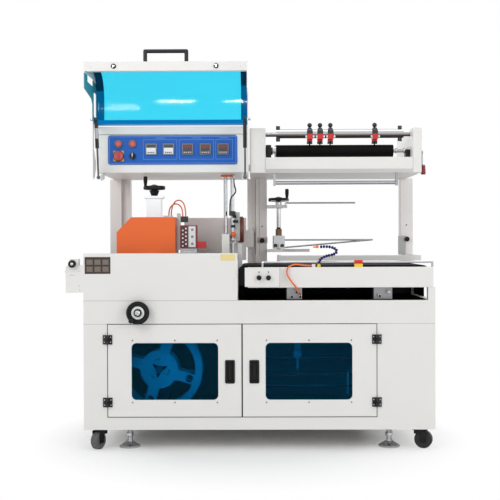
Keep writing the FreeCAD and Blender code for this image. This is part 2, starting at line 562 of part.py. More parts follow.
def control_box():
    """A sheet case with rounded upright edges, a lid that caps it and a recessed sill under its front."""
    corner = sizes["box_round"]
    case = rounded(box(BOX_X, BOX_Y, "box_low", "box_width", "box_depth", "box_height - box_lid - 2"), "Z", corner)
    neck = box(f"{BOX_X} + 3", f"{BOX_Y} + 3", f"{BOX_TOP} - box_lid - 2", "box_width - 6", "box_depth - 6", "2")
    lid = rounded(box(BOX_X, BOX_Y, f"{BOX_TOP} - box_lid", "box_width", "box_depth", "box_lid"), "Z", corner)
    node("control_case", case, neck, lid)


def dial_place(column, height):
    return f"{BOX_X} + panel_in + dial_in + {column} * dial_step", f"box_low + panel_low + {height}"


def meters():
    low = "box_low + panel_low + switch_up + 5"
    timers = [f"{BOX_X} + panel_in + timer_in + {i} * timer_step" for i in range(2)]
    controls = [f"{BOX_X} + panel_in + control_in + {i} * control_step" for i in range(3)]
    return low, timers, controls


def control_panel():
    panel_x = f"{BOX_X} + panel_in"
    panel_z = "box_low + panel_low"
    y = f"{BOX_Y} - panel_thick"
    sheet_part = rounded(box(panel_x, y, panel_z, "panel_width", "panel_thick", "panel_height"), "Y",
                         sizes["panel_radius"])
    node("control_panel", sheet_part)
    low, timers, controls = meters()
    for meter_x in timers + controls:
        meter = box(meter_x, f"{y} - meter_deep", low, "meter_size", "meter_deep", "meter_size")
        node("panel_meters", rounded(meter, "Y", 3))
    for column, name in ((0, "start"), (1, "stop")):
        x, z = dial_place(column, "pilot_up")
        ring = cut(rod("Y", x, f"{y} - bezel_thick", z, "bezel_radius", "bezel_thick"),
                   rod("Y", x, f"{y} - bezel_thick - 1", z, "pilot_radius + 0.3", "bezel_thick + 0.5"))
        node("panel_meters", ring)
        button = lathe("Y", [("0", "0"), ("pilot_radius - 3", "0"), ("pilot_radius", "3"), ("pilot_radius", "5"),
                             ("0", "5")], (x, f"{y} - bezel_thick - button_proud", z))
        node(f"{name}_button", button)
    x, z = dial_place(0, "switch_up")
    node("panel_meters", box(f"{x} - plate_size / 2", f"{y} - plate_thick", f"{z} - plate_size / 2",
                                  "plate_size", "plate_thick", "plate_size"))
    disc = rod("Y", x, f"{y} - plate_thick - 0.3 - dial_deep / 2", z, "dial_radius", "dial_deep / 2")
    grip = rounded(box(f"{x} - dial_radius / 3", f"{y} - plate_thick - 0.3 - dial_deep", f"{z} - dial_radius",
                       "dial_radius / 1.5", "dial_deep", "2 * dial_radius"), "Y", 4)
    node("main_switch_dial", fuse(disc, grip))
    x, z = dial_place(1, "switch_up")
    disc = rod("Y", x, f"{y} - 0.3 - 6", z, "selector_radius", "6")
    grip = box(f"{x} - 4", f"{y} - 0.3 - 16", f"{z} - selector_radius + 1", "8", "16", "2 * selector_radius - 2")
    node("selector_knob", fuse(disc, grip))


# Hood: two side plates, a front bar with a handle, and one bent clear sheet between the plates
HOOD_SIDES = (f"{BOX_X} - hood_gap - hood_wall", f"{BOX_X} + box_width + hood_gap")
HOOD_IN = f"{BOX_X} - hood_gap"
HOOD_WIDE = "box_width + 2 * hood_gap"
PIVOT_Y = f"{FRONT} + pivot_back"


def hood():
    strut_back = "strut_wide - strut_front"
    outline = [("0 - bar_reach", "hood_top"), ("0 - bar_reach", "hood_top - 106"), ("0 - strut_front - 25", "hood_top - 124"),
               ("0 - strut_front", "hood_top - 142"), ("0 - strut_front", "strut_low + 12"),
               ("13 - strut_front", "strut_low"), ("37 - strut_front", "strut_low + 8"),
               ("73 - strut_front", "strut_low + 52"), ("73 - strut_front", "strut_low + 76"),
               (strut_back, "strut_low + 130"), (strut_back, "tie_low"), ("hood_back + 8", "tie_low - 6"),
               ("pivot_back - pivot_boss", "pivot_high - 10"), ("pivot_back", "pivot_high - pivot_boss"),
               ("pivot_back + pivot_boss", "pivot_high - 10"), ("pivot_back + pivot_boss", "pivot_high + pivot_boss"),
               ("hood_back + 42", "sheet_low"), ("hood_back", "sheet_low + 12"), ("hood_back", "hood_top")]
    for x in HOOD_SIDES:
        flat = plate("YZ_Plane", outline, "hood_wall", (x, FRONT, "0"))
        bent = rounded(flat, "X", sizes["bend"],
                       lambda c, b: c.z > b.ZMax - 1 and c.y > b.YMin + 1)
        slot = rounded(box(f"{x} - 1", f"{FRONT} - slot_front", "slot_low", "hood_wall + 2", "slot_long", "slot_tall"),
                       "X", 8)
        window = rounded(box(f"{x} - 1", f"{FRONT} + {strut_back}", "tie_low + tie_tall", "hood_wall + 2",
                             "hood_window", "hood_window_top - tie_low - tie_tall"), "X", 8)
        bore = rod("X", f"{x} - 1", PIVOT_Y, "pivot_high", "pivot_radius + running", "hood_wall + 2")
        node("hood_frame", cut(bent, slot, window, bore))
    outer = rounded(box(HOOD_IN, f"{FRONT} - bar_reach + bar_thick", "sheet_low", HOOD_WIDE,
                        "bar_reach - bar_thick + hood_back", "hood_top - sheet_low"), "X", sizes["bend"],
                    lambda c, b: c.z > b.ZMax - 1 and c.y > b.YMax - 1)
    inner = rounded(box(f"{HOOD_IN} - 1", f"{FRONT} - bar_reach + bar_thick - 1", "sheet_low - 1",
                        f"{HOOD_WIDE} + 2", "bar_reach - bar_thick + hood_back - sheet_thick + 1",
                        "hood_top - sheet_low - sheet_thick + 1"), "X", sizes["bend"] - sizes["sheet_thick"],
                    lambda c, b: c.z > b.ZMax - 1 and c.y > b.YMax - 1)
    node("hood_sheet", cut(outer, inner))
    bar_low = "hood_top - bar_tall"
    bar = rounded(box(HOOD_IN, f"{FRONT} - bar_reach", bar_low, HOOD_WIDE, "bar_thick", "bar_tall"), "X", 2)
    node("hood_frame", bar)
    middle = f"{BOX_X} + box_width / 2"
    y = f"{FRONT} - bar_reach + bar_thick / 2"
    top = "hood_top + handle_rise - handle_radius"
    legs = []
    for sign in ("-", "+"):
        leg_x = f"{middle} {sign} handle_span / 2"
        legs.append(rod("Z", leg_x, y, "hood_top", "handle_radius", "handle_rise - handle_radius"))
        legs.append(ball(leg_x, y, top, "handle_radius"))
    legs.append(rod("X", f"{middle} - handle_span / 2", y, top, "handle_radius", "handle_span"))
    node("hood_fittings", *legs)
    for place in ("bumper_left", "bumper_right"):
        bumper = lathe("Y", [("0", "0"), ("bumper_radius - 3", "0"), ("bumper_radius", "3"),
                             ("bumper_radius", "bumper_long"), ("0", "bumper_long")],
                       (f"{BOX_X} + {place}", f"{FRONT} - bar_reach - bumper_long", "hood_top - bar_tall / 2"))
        node("hood_fittings", bumper)
    for x, sign in ((f"{BOX_X}", "-"), (f"{BOX_X} + box_width", "+")):
        out = "hood_gap + hood_wall + 0.3"
        start = f"{x} - ({out}) - 4" if sign == "-" else x
        cap = f"{x} - ({out}) - 4" if sign == "-" else f"{x} + {out}"
        node("steel_fittings", rod("X", start, PIVOT_Y, "pivot_high", "pivot_radius", f"{out} + 4"),
             rod("X", cap, PIVOT_Y, "pivot_high", "pivot_radius + 7", "4"))


def gas_springs():
    """Each rod hangs from a stud on a bracket under the case; its tube ends beside a stud on the hood plate."""
    low_y, low_z = f"{FRONT} + low_eye_y", "low_eye_z"
    run_y = sizes["top_eye_y"] - sizes["low_eye_y"]
    run_z = sizes["top_eye_z"] - sizes["low_eye_z"]
    long = math.hypot(run_y, run_z)
    lean = Rotation(Vector(0, 0, 1), Vector(0, run_y, run_z))
    length = "sqrt((top_eye_y - low_eye_y) ^ 2 + (top_eye_z - low_eye_z) ^ 2)"
    for x, name, sign in ((f"{BOX_X} + spring_in", "left", "+"), (f"{BOX_X} + box_width - spring_in", "right", "-")):
        def along(share):
            return (x, f"{low_y} + ({share}) * (top_eye_y - low_eye_y) / ({length})",
                    f"{low_z} + ({share}) * (top_eye_z - low_eye_z) / ({length})")
        eye = cut(ball(x, low_y, low_z, "eye_radius"),
                  rod("X", f"{x} - eye_radius - 1", low_y, low_z, "stud_radius + running", "2 * eye_radius + 2"))
        rod_start = "eye_radius - 2"
        shaft = doc.addObject("Part::Cylinder", "Shaft")
        bind(shaft, "Radius", "spring_rod")
        bind(shaft, "Height", f"{length} - spring_tube + rod_inside - ({rod_start})")
        put_at(shaft, along(rod_start), lean)
        node(f"{name}_spring_rod", fuse(eye, shaft))
        tube = doc.addObject("Part::Cylinder", "Tube")
        bind(tube, "Radius", "spring_radius")
        bind(tube, "Height", "spring_tube - eye_radius + 1")
        put_at(tube, along(f"{length} - spring_tube"), lean)
        bore = doc.addObject("Part::Cylinder", "Bore")
        bind(bore, "Radius", "spring_rod + running")
        bind(bore, "Height", "spring_tube - eye_radius - 2")
        put_at(bore, along(f"{length} - spring_tube - 1"), lean)
        top = ball(*along(length), "eye_radius")
        node(f"{name}_spring_tube", cut(fuse(tube, top), bore))
        tab = f"{x} + eye_radius + 2" if sign == "+" else f"{x} - eye_radius - 2 - bracket_thick"
        points = [("low_eye_y - 10", "low_eye_z - 12"), ("low_eye_y + 24", "low_eye_z - 12"),
                  ("box_front + 40", "low_eye_z"), ("box_front + 40", "box_low"), ("box_front + 4", "box_low"),
                  ("box_front - 6", "low_eye_z + 12"), ("low_eye_y - 10", "low_eye_z + 12")]
        flange = plate("YZ_Plane", points, "bracket_thick", (tab, FRONT, "0"))
        stud_x = f"{x} - eye_radius - 1" if sign == "+" else tab
        stud = rod("X", stud_x, low_y, low_z, "stud_radius", "2 * eye_radius + 3 + bracket_thick")
        node("steel_fittings", flange, stud)
        plate_x = HOOD_IN if sign == "+" else f"{HOOD_IN} + {HOOD_WIDE}"
        reach = "spring_in + hood_gap - eye_radius - 0.3"
        knob = f"{plate_x} - hood_wall - 10" if sign == "+" else f"{plate_x} + hood_wall"
        inside = rod("X", plate_x if sign == "+" else f"{plate_x} - ({reach})", f"{FRONT} + top_eye_y", "top_eye_z",
                     "stud_radius + 2", reach)
        outside = rod("X", knob, f"{FRONT} + top_eye_y", "top_eye_z", "stud_radius + 3", "10")
        node("hood_fittings", inside, outside)


# Film rack on the right: two cheeks, a folded front beam, the punch bar and the film rollers
RACK_X = f"{BOX_X} + box_width + rack_gap"
RACK_Y = f"{FRONT} + rack_front"
RACK_IN = f"{RACK_X} + rack_left_wide"
RACK_OUT = f"{RACK_IN} + rack_inside"
BAR_Y, ROLL_Y, GUIDE_Y = f"{FRONT} + bar_y", f"{FRONT} + roll_y", f"{FRONT} + guide_y"


def rack():
    tall = "rack_high - rack_low"
    cheeks = []
    for x, wide in ((RACK_X, "rack_left_wide"), (RACK_OUT, "rack_right_wide")):
        cheek = rounded(box(x, RACK_Y, "rack_low", wide, "rack_depth", tall), "Z", 8)
        cheeks.append(cheek)
    beam = plate("YZ_Plane", [("0", "rack_sill"), ("rack_sill", "0"), ("rack_depth", "0"), ("rack_depth", "rack_wall"),
                              ("rack_sill + rack_wall", "rack_wall"), ("rack_wall", "rack_sill + rack_wall"),
                              ("rack_wall", "rack_sill + beam_face"), ("0", "rack_sill + beam_face")],
                 "rack_inside", (RACK_IN, RACK_Y, "rack_low"))
    hangers = []
    for x in (f"{RACK_IN} + guide_start - 0.3 - hanger_wide", f"{RACK_IN} + guide_start + guide_long + 0.3"):
        ear = box(x, f"{GUIDE_Y} - hanger_deep / 2", "guide_z - hanger_deep / 2", "hanger_wide", "hanger_deep",
                  "rack_low - guide_z + hanger_deep / 2")
        hangers.append(cut(ear, rod("X", f"{x} - 1", GUIDE_Y, "guide_z", "guide_axle + running", "hanger_wide + 2")))
    hubs = [rod("X", f"{RACK_IN} - 1", ROLL_Y, "roll_z", "roll_shaft + running", "roll_start"),
            rod("X", f"{RACK_OUT} - 12", ROLL_Y, "roll_z", "roll_shaft + running", "24")]
    bearings = [rod("X", RACK_IN, ROLL_Y, "roll_z", "roll_shaft + 8", "roll_start - 8"),
                rod("X", f"{RACK_OUT} - 12", ROLL_Y, "roll_z", "roll_shaft + 8", "12")]
    pin = rod("X", f"{RACK_OUT} + rack_right_wide - 1", f"{FRONT} + lever_y", "lever_z", "lever_pin", "13")
    frame_piece = fuse(*cheeks, beam, *bearings, *hangers, pin)
    node("film_rack", cut(frame_piece, *hubs))
    # The bar's ends sit in split clamps, each closed by a star knob above and one below
    bar_x = f"{RACK_IN} + bar_start"
    bar = rod("X", RACK_IN, BAR_Y, "bar_z", "bar_radius - 7", "rack_inside")
    sleeve = rod("X", bar_x, BAR_Y, "bar_z", "bar_radius", "bar_long")
    node("punch_bar", bar, sleeve)
    for x in (f"{bar_x} + 8", f"{bar_x} + bar_long - 16"):
        for z in ("bar_z + bar_radius - 2", "bar_z - bar_radius - star_tall + 2"):
            node("punch_bar", rod("Z", x, BAR_Y, z, "star_radius", "star_tall"))
    roller = lathe("X", [("0", "0 - roll_start"), ("roll_shaft", "0 - roll_start"), ("roll_shaft", "0"),
                         ("roll_radius", "0"), ("roll_radius", "roll_long"), ("roll_shaft", "roll_long"),
                         ("roll_shaft", "rack_inside - roll_start + 11"), ("0", "rack_inside - roll_start + 11")],
                   (f"{RACK_IN} + roll_start", ROLL_Y, "roll_z"))
    node("rubber_roller", roller)
    guide = lathe("X", [("0", "0 - hanger_wide"), ("guide_axle", "0 - hanger_wide"), ("guide_axle", "0"),
                        ("guide_radius", "0"),
                        ("guide_radius", "guide_long"), ("guide_axle", "guide_long"),
                        ("guide_axle", "guide_long + hanger_wide"),
                        ("0", "guide_long + hanger_wide")], (f"{RACK_IN} + guide_start", GUIDE_Y, "guide_z"))
    node("guide_roller", guide)


def punches():
    """Holders slid on the bar and set by a screw; their needle wheels roll on the rubber roller."""
    wheel_z = "roll_z + roll_radius + needle_radius + needle_lift"
    wheel_y = ROLL_Y
    for number in (1, 2, 3, 4):
        x = f"{RACK_IN} + punch_{number}"
        body = fuse(box(f"{x} - punch_wide / 2", f"{BAR_Y} - bar_radius - punch_wall", "bar_z - bar_radius - 6",
                        "punch_wide", "2 * bar_radius + 2 * punch_wall", "bar_radius + 6"),
                    rod("X", f"{x} - punch_shank / 2", BAR_Y, "bar_z", "bar_radius + punch_wall", "punch_shank"),
                    box(f"{x} - punch_wide / 2", f"{wheel_y} - needle_radius", f"{wheel_z} - 5", "punch_wide",
                        "2 * needle_radius", f"bar_z - bar_radius - ({wheel_z}) + 5"),
                    rod("Z", x, BAR_Y, "bar_z + bar_radius", "shank_radius", "punch_tail"),
                    ball(x, BAR_Y, "bar_z + bar_radius + punch_tail + 6", "punch_ball"))
        slot = box(f"{x} - needle_wide / 2 - 0.5", f"{wheel_y} - needle_radius - 2", f"{wheel_z} - needle_radius - 2",
                   "needle_wide + 1", "2 * needle_radius + 4", "2 * needle_radius + 3")
        bore = rod("X", f"{x} - punch_wide", BAR_Y, "bar_z", "bar_radius + punch_gap", "2 * punch_wide")
        axle = rod("X", f"{x} - punch_wide / 2", wheel_y, wheel_z, "needle_axle", "punch_wide")
        node("punch_bar", fuse(cut(body, slot, bore), axle))
        ring = cut(rod("X", f"{x} - needle_wide / 2", wheel_y, wheel_z, "needle_radius", "needle_wide"),
                   rod("X", f"{x} - needle_wide", wheel_y, wheel_z, "needle_axle + running", "2 * needle_wide"))
        node("needle_wheels", ring)


def rack_lever():
    x = f"{RACK_OUT} + rack_right_wide"
    y = f"{FRONT} + lever_y"
    hub = rod("X", f"{x} + 0.3", y, "lever_z", "lever_boss", "10")
    arm = rod("Z", f"{x} + 8", y, "lever_z - lever_long", "lever_rod", "lever_long")
    grip = lathe("Z", [("0", "0"), ("lever_grip - 3", "0"), ("lever_grip", "4"), ("lever_grip - 2", "grip_long - 3"),
                       ("lever_grip - 5", "grip_long"), ("0", "grip_long")],
                 (f"{x} + 13", y, "lever_z - lever_long - grip_long + 8"))
    bore = rod("X", x, y, "lever_z", "lever_pin + running", "13")
    node("rack_lever", cut(fuse(hub, arm, grip), bore))


def wheel_with_crank(axis, place, crank):
    """A hand wheel: rim, thin web and hub turned in one piece, with the pin of its crank grip."""
    wheel = lathe(axis, [("0", "0"), ("wheel_hub", "0"), ("wheel_hub + 3", "wheel_tall / 3"),
                         ("wheel_radius - wheel_rim", "wheel_tall / 3"), ("wheel_radius - wheel_rim", "wheel_tall / 6"),
                         ("wheel_radius - 2", "wheel_tall / 6"), ("wheel_radius", "wheel_tall / 6 + 3"),
                         ("wheel_radius", "wheel_tall / 1.2 - 3"), ("wheel_radius - 2", "wheel_tall / 1.2"),
                         ("wheel_radius - wheel_rim", "wheel_tall / 1.2"),
                         ("wheel_radius - wheel_rim - 2", "wheel_tall / 3 + wheel_web"),
                         ("wheel_hub + 3", "wheel_tall / 3 + wheel_web"), ("wheel_hub", "wheel_tall"),
                         ("0", "wheel_tall")], place)
    pin = rod(axis, *crank[:3], "crank_pin", crank[3])
    return wheel, pin


def grip_body(axis, place):
    return lathe(axis, [("0", "0"), ("crank_neck + 2", "0"), ("crank_radius", "crank_long / 2"),
                        ("crank_radius", "crank_long - 4"), ("crank_radius - 3", "crank_long"),
                        ("0", "crank_long")], place)


def crank_grip(axis, place):
    return cut(grip_body(axis, place), rod(axis, *place, "crank_pin + running", "crank_long - 6"))


HEAD_X, HEAD_Y = f"{LEFT} + head_x", f"{FRONT} + head_y"
GUARD_X, GUARD_Y = f"{LEFT} + guard_left", f"{FRONT} + guard_front"


def seal_head():
    """A column with a screw and wheel on top; the covered head slides up and down on it."""
    half = "head_body / 2"
    guard_top = "guard_low + guard_tall"
    base_z = "guard_low - base_gap - base_thick"
    column = box(f"{HEAD_X} - {half}", f"{HEAD_Y} - {half}", base_z, "head_body", "head_body",
                 f"head_body_top - ({base_z})")
    top = box(f"{HEAD_X} - head_plate / 2", f"{HEAD_Y} - head_plate / 2", "head_body_top", "head_plate",
              "head_plate", "head_plate_thick")
    screw_top = "head_body_top + head_plate_thick"
    base = box(f"{HEAD_X} - {half}", f"{FRONT} + housing_deep", base_z, "head_body",
               f"head_y - {half} - housing_deep", "base_thick")
    bore = rod("Z", HEAD_X, HEAD_Y, "head_body_top - 20", "head_shaft + running", "head_plate_thick + 21")
    node("seal_column", cut(fuse(column, top, base), bore))
    outline = [("0", "0"), ("guard_wide", "0"), ("guard_wide", "guard_tall"), ("guard_cut_x", "guard_tall"),
               ("0", "guard_tall - guard_cut_z")]
    cover = plate("XZ_Plane", outline, "guard_deep", (GUARD_X, f"{GUARD_Y} + guard_deep", "guard_low"))
    inner_line = [("guard_wall", "0 - 1"), ("guard_wide - guard_wall", "0 - 1"),
                  ("guard_wide - guard_wall", "guard_tall - guard_wall"),
                  ("guard_cut_x + guard_wall / 2", "guard_tall - guard_wall"),
                  ("guard_wall", "guard_tall - guard_cut_z - guard_wall / 2")]
    inner = plate("XZ_Plane", inner_line, "guard_deep - guard_wall",
                  (GUARD_X, f"{GUARD_Y} + guard_deep + 1", "guard_low"))
    space = "head_body + 2 * column_clear"
    window = box(f"{HEAD_X} - ({space}) / 2", f"{HEAD_Y} - ({space}) / 2", f"{guard_top} - guard_wall - 1", space,
                 space, "guard_wall + 2")
    node("seal_head", cut(cover, inner, window))
    shoe = cut(box(f"{HEAD_X} - {half} - 14", f"{HEAD_Y} - {half} - 14", "guard_low + 50", "head_body + 28",
                   "head_body + 28", "guard_tall - guard_wall - 50"),
               box(f"{HEAD_X} - ({space}) / 2", f"{HEAD_Y} - ({space}) / 2", "guard_low + 49", space, space,
                   "guard_tall"))
    side_arm = box(f"{HEAD_X} + {half} + 14", f"{HEAD_Y} - 20", "guard_low + 70",
                   f"{GUARD_X} + guard_wide - guard_wall - ({HEAD_X} + {half} + 14)", "40", "30")
    backing = box(f"{GUARD_X} + guard_wide", f"{FRONT} + backing_y", "backing_low", "backing_wide",
                  "backing_thick", "backing_tall")
    node("seal_head", shoe, side_arm, backing)
    wheel_z = f"{screw_top} + 26"
    crank_x = f"{HEAD_X} - wheel_radius + crank_in"
    crank_z = f"{wheel_z} + wheel_tall / 1.2"
    wheel, pin = wheel_with_crank("Z", (HEAD_X, HEAD_Y, wheel_z), (crank_x, HEAD_Y, crank_z, "crank_long - 8"))
    neck = cone("Z", HEAD_X, HEAD_Y, f"{screw_top} + 0.3", "wheel_hub - 2", "wheel_hub + 8", "25.7")
    shaft = rod("Z", HEAD_X, HEAD_Y, "head_body_top - 16", "head_shaft", "head_plate_thick + 18")
    node("seal_hand_wheel", fuse(wheel, pin, neck, shaft))
    node("seal_crank_grip", crank_grip("Z", (crank_x, HEAD_Y, f"{crank_z} + 0.3")))


def sensor_unit():
    """The film sensor beside the head, on its upright plate."""
    x = f"{LEFT} + sensor_left"
    y = f"{FRONT} + sensor_y"
    body = box(x, y, "sensor_low", "sensor_wide", "sensor_deep", "sensor_tall")
    face = box(f"{x} + 5", f"{y} - 4", "sensor_low + 5", "sensor_wide - 10", "4", "sensor_tall - 10")
    slide = box(f"{x} + sensor_wide", f"{y} + 10", "sensor_low", "40", "30", "30")
    housing_top = f"{TOP} + housing_height"
    base = box(f"{x} - 14", f"{FRONT} + housing_deep", f"{housing_top} - 8", "102",
               "sensor_y + sensor_deep - housing_deep", "8")
    riser = box(x, f"{y} + 8", housing_top, "sensor_wide", "sensor_deep - 16", f"sensor_low - ({housing_top})")
    node("sensor_unit", body, face, slide, base, riser)
    rear = box(f"{LEFT} + rear_plate_left", f"{FRONT} + rear_plate_y", "rear_plate_low", "rear_plate_wide",
               "rear_plate_thick", "rear_plate_tall")
    cap = box(f"{LEFT} + rear_plate_left", f"{FRONT} + rear_plate_y + rear_plate_thick",
              "rear_plate_low + rear_plate_tall - 8", "rear_plate_wide", "26", "8")
    foot = box(f"{LEFT} + rear_plate_left + rear_plate_wide",
               f"{FRONT} + rear_plate_y", "rear_plate_low + 60", "post_centre_x - rear_plate_left - rear_plate_wide",
               "rear_plate_thick", "80")
    tie = box(f"{LEFT} + post_centre_x", f"{FRONT} + rear_plate_y", "rear_plate_low + 60", "30",
              "post_y + post_step - rear_plate_y", "80")
    node("frame_posts", rear, cap, foot, tie)


def cross_jaw():
    """Two rods hang from a cap under the control case; the upper jaw slides on them above a fixed anvil."""
    x, y = f"{LEFT} + jaw_x", f"{FRONT} + jaw_y"
    second = f"{x} + jaw_step"
    cap = box(f"{x} - 20", f"{y} - 18", "box_low - cap_tall", "cap_wide", "36", "cap_tall")
    long = "box_low - cap_tall - anvil_top - 8"
    ring = rod("Z", second, y, "box_low - 184", "jaw_rod + 6", "20")
    node("jaw_guides", cap, rod("Z", x, y, "anvil_top + 8", "jaw_rod", long),
         rod("Z", second, y, "anvil_top + 8", "jaw_rod", long))
    node("jaw_guides", ring, box(f"{second} - 14", f"{y} - jaw_rod - 30", "box_low - 184", "14", "26", "20"))
    block = box(f"{x} - jaw_rod - jaw_wall", f"{FRONT} + infeed_belt_front + jaw_front", "jaw_block_low",
                "jaw_block_wide", "jaw_deep", "jaw_block_tall")
    lug = fuse(rod("Z", second, y, "jaw_block_low + 50", "jaw_rod + 7", "24"),
               box(x, f"{y} - 9", "jaw_block_low + 50", "jaw_step", "18", "24"))
    bores = [rod("Z", place, y, "jaw_block_low - 1", "jaw_rod + running", "jaw_block_tall + 2")
             for place in (x, second)]
    node("upper_jaw", cut(fuse(block, lug), *bores))
    anvil = box(f"{x} - 20", f"{FRONT} + infeed_belt_front + jaw_front", TOP, "anvil_wide", "jaw_deep",
                f"anvil_top - ({TOP})")
    node("jaw_guides", anvil)
    disc_x = f"{LEFT} + disc_left"
    disc_y = f"{FRONT} + disc_y"
    disc = lathe("X", [("0", "0"), ("disc_radius - 6", "0"), ("disc_radius", "5"), ("disc_radius", "disc_thick - 5"),
                       ("disc_radius - 6", "disc_thick"), ("0", "disc_thick")], (disc_x, disc_y, "disc_z"))
    arm = box(f"{disc_x} - 10", f"{disc_y} - 12", "disc_z - 12", "10", "rear_plate_y - disc_y + 12", "24")
    node("jaw_guides", disc, arm)


def film_guide():
    """A wheel on top turns a screw that lifts a nut block with the two film rods."""
    x, y = f"{LEFT} + guide_x", f"{FRONT} + screw_y"
    post_right = f"{LEFT} + post_centre_x + post_face + post_side"
    arms = []
    for z in ("screw_high - arm_thick", "screw_low"):
        arms.append(box(post_right, f"{y} - 30", z, f"{x} + 20 - ({post_right})", "70", "arm_thick"))
    plate_arm = box(post_right, f"{FRONT} + post_y + 16", "screw_low", "plate_arm_wide", "34", "arm_thick")
    riser = rod("Z", f"{x} + 32", f"{y} - 24", "screw_high - arm_thick / 2", "guide_rod", "arm_thick / 2 + 10")
    stub = box(f"{x} + 20", f"{y} - 30", "screw_high - arm_thick", "20", "12", "arm_thick")
    upper = rod("X", f"{x} + 32", f"{y} - 24", "screw_high + 10", "guide_rod", "upper_rod_long")
    holes = [rod("Z", x, y, "screw_low + 6", "screw_radius + running", "screw_high - screw_low")]
    node("frame_posts", cut(fuse(*arms, plate_arm, riser, stub, upper), *holes))
    wheel_z = "screw_high + 14"
    crank_x = f"{x} + wheel_radius - crank_in"
    wheel, pin = wheel_with_crank("Z", (x, y, wheel_z), (crank_x, y, f"{wheel_z} + wheel_tall / 1.2",
                                                                  "crank_long - 8"))
    collar = rod("Z", x, y, "screw_high + 0.3", "wheel_hub", "14")
    screw = rod("Z", x, y, "screw_low + 6.3", "screw_radius", "screw_high - screw_low")
    node("guide_hand_wheel", fuse(wheel, pin, collar, screw))
    node("guide_crank_grip", crank_grip("Z", (crank_x, y, f"{wheel_z} + wheel_tall / 1.2 + 0.3")))
    block = rounded(box(f"{x} - nut_wide / 2", f"{y} - nut_deep / 2", "nut_low", "nut_wide", "nut_deep",
                        "block_tall"), "Z", 6)
    sleeve = rod("Z", x, y, "nut_low + block_tall", "sleeve_radius", "sleeve_tall")
    rod_z = "nut_low + block_tall - 20"
    side = f"{x} + nut_wide / 2"
    straight = rod("X", f"{side} - 5", f"{y} - 10", rod_z, "guide_rod", "lower_rod_long + 5")
    slope = Rotation(Vector(0, 0, 1), Vector(sizes["lower_rod_long"], 0, sizes["fork_drop"]))
    leaning = doc.addObject("Part::Cylinder", "Leaning")
    bind(leaning, "Radius", "guide_rod")
    bind(leaning, "Height", "sqrt(lower_rod_long ^ 2 + fork_drop ^ 2)")
    put_at(leaning, (f"{side} - 1", f"{y} - 10", f"{rod_z} - fork_drop"), slope)
    bore = rod("Z", x, y, "nut_low - 1", "screw_radius + running", "block_tall + sleeve_tall + 2")
    stars = [rod("Y", f"{x} {sign} 16", f"{y} - nut_deep / 2 - 12", "nut_low + 14", "star_radius", "14")
             for sign in ("-", "+")]
    node("film_guide", cut(fuse(block, sleeve, straight, leaning, *stars), bore))


def spoke(x, y, z, angle, reach, wide, thick):
    """A bar from the point outwards, turned by an angle in the upright plane."""
    bar = doc.addObject("Part::Box", "Spoke")
    bind(bar, "Length", reach)
    bind(bar, "Width", thick)
    bind(bar, "Height", wide)
    return put_at(bar, (f"{x} + {wide} / 2 * sin({angle})", y, f"{z} - {wide} / 2 * cos({angle})"),
                  Rotation(Vector(0, -1, 0), angle))


def scrap_reel():
    """Two four-spoked flanges on a core; the front hub has a three-armed opening round the spindle."""
    x, y = f"{LEFT} + reel_x", f"{FRONT} + reel_y"
    flanges = []
    for back, thick in (("0", "reel_thick"), ("reel_gap", "reel_thick")):
        start = f"{y} + {back}"
        rim = cut(rod("Y", x, start, "reel_z", "reel_radius", thick),
                  rod("Y", x, f"{start} - 1", "reel_z", "reel_radius - reel_rim", f"{thick} + 2"))
        arms = [spoke(x, start, "reel_z", sizes["reel_turn"] + 90 * i, "reel_radius - reel_rim / 2", "spoke_wide",
                      thick) for i in range(4)]
        hub = rod("Y", x, start, "reel_z", "reel_hub", thick)
        holes = []
        for i in range(4):
            turn = math.radians(sizes["reel_turn"] + 90 * i)
            reach = "(reel_radius - reel_rim - spoke_hole - 4)"
            holes.append(rod("Y", f"{x} + {reach} * {math.cos(turn):.6f}", f"{start} - 1",
                             f"reel_z + {reach} * {math.sin(turn):.6f}", "spoke_hole", f"{thick} + 2"))
        flanges.append(cut(fuse(rim, hub, *arms), *holes))
    star = [spoke(x, f"{y} - 1", "reel_z", sizes["reel_turn"] + 120 * i, "star_arm", "star_wide",
                  "reel_thick + 2") for i in range(3)]
    core = rod("Y", x, f"{y} + reel_thick", "reel_z", "reel_core", "reel_gap - reel_thick")
    bore = rod("Y", x, f"{y} - 1", "reel_z", "spindle_radius + running", "reel_gap + reel_thick + 2")
    node("scrap_reel", cut(fuse(cut(flanges[0], *star), flanges[1], core), bore))
    stand_y = f"{y} + reel_gap + reel_thick + 4"
    spindle = rod("Y", x, f"{y} - 6", "reel_z", "spindle_radius", "reel_gap + reel_thick + 12")
    stand = box(f"{x} - 40", stand_y, f"{BASE} + sheet_wall", "80", "12", f"reel_z + 40 - ({BASE} + sheet_wall)")
    node("steel_fittings", stand, spindle)


def front_wheel():
    """The hand wheel on the front of the base, its shaft running in the front wall."""
    x = f"{LEFT} + front_wheel_x"
    y = f"{FRONT} - front_wheel_gap"
    turn = math.radians(-128)
    reach = "(wheel_radius - crank_in)"
    crank_x = f"{x} + {reach} * {math.cos(turn):.6f}"
    crank_z = f"front_wheel_z + {reach} * {math.sin(turn):.6f}"
    wheel, pin = wheel_with_crank("-Y", (x, y, "front_wheel_z"),
                                  (crank_x, f"{y} - wheel_tall / 1.2", crank_z, "crank_long - 8"))
    shaft = rod("Y", x, y, "front_wheel_z", "head_shaft", "front_wheel_gap + door_thick + sheet_wall + 8")
    collar = rod("Y", x, f"{FRONT} - front_wheel_gap", "front_wheel_z", "wheel_hub", "front_wheel_gap - 0.3")
    grip = grip_body("-Y", (crank_x, f"{y} - wheel_tall / 1.2 + 1", crank_z))
    node("front_hand_wheel", wheel, pin, shaft, collar, grip)


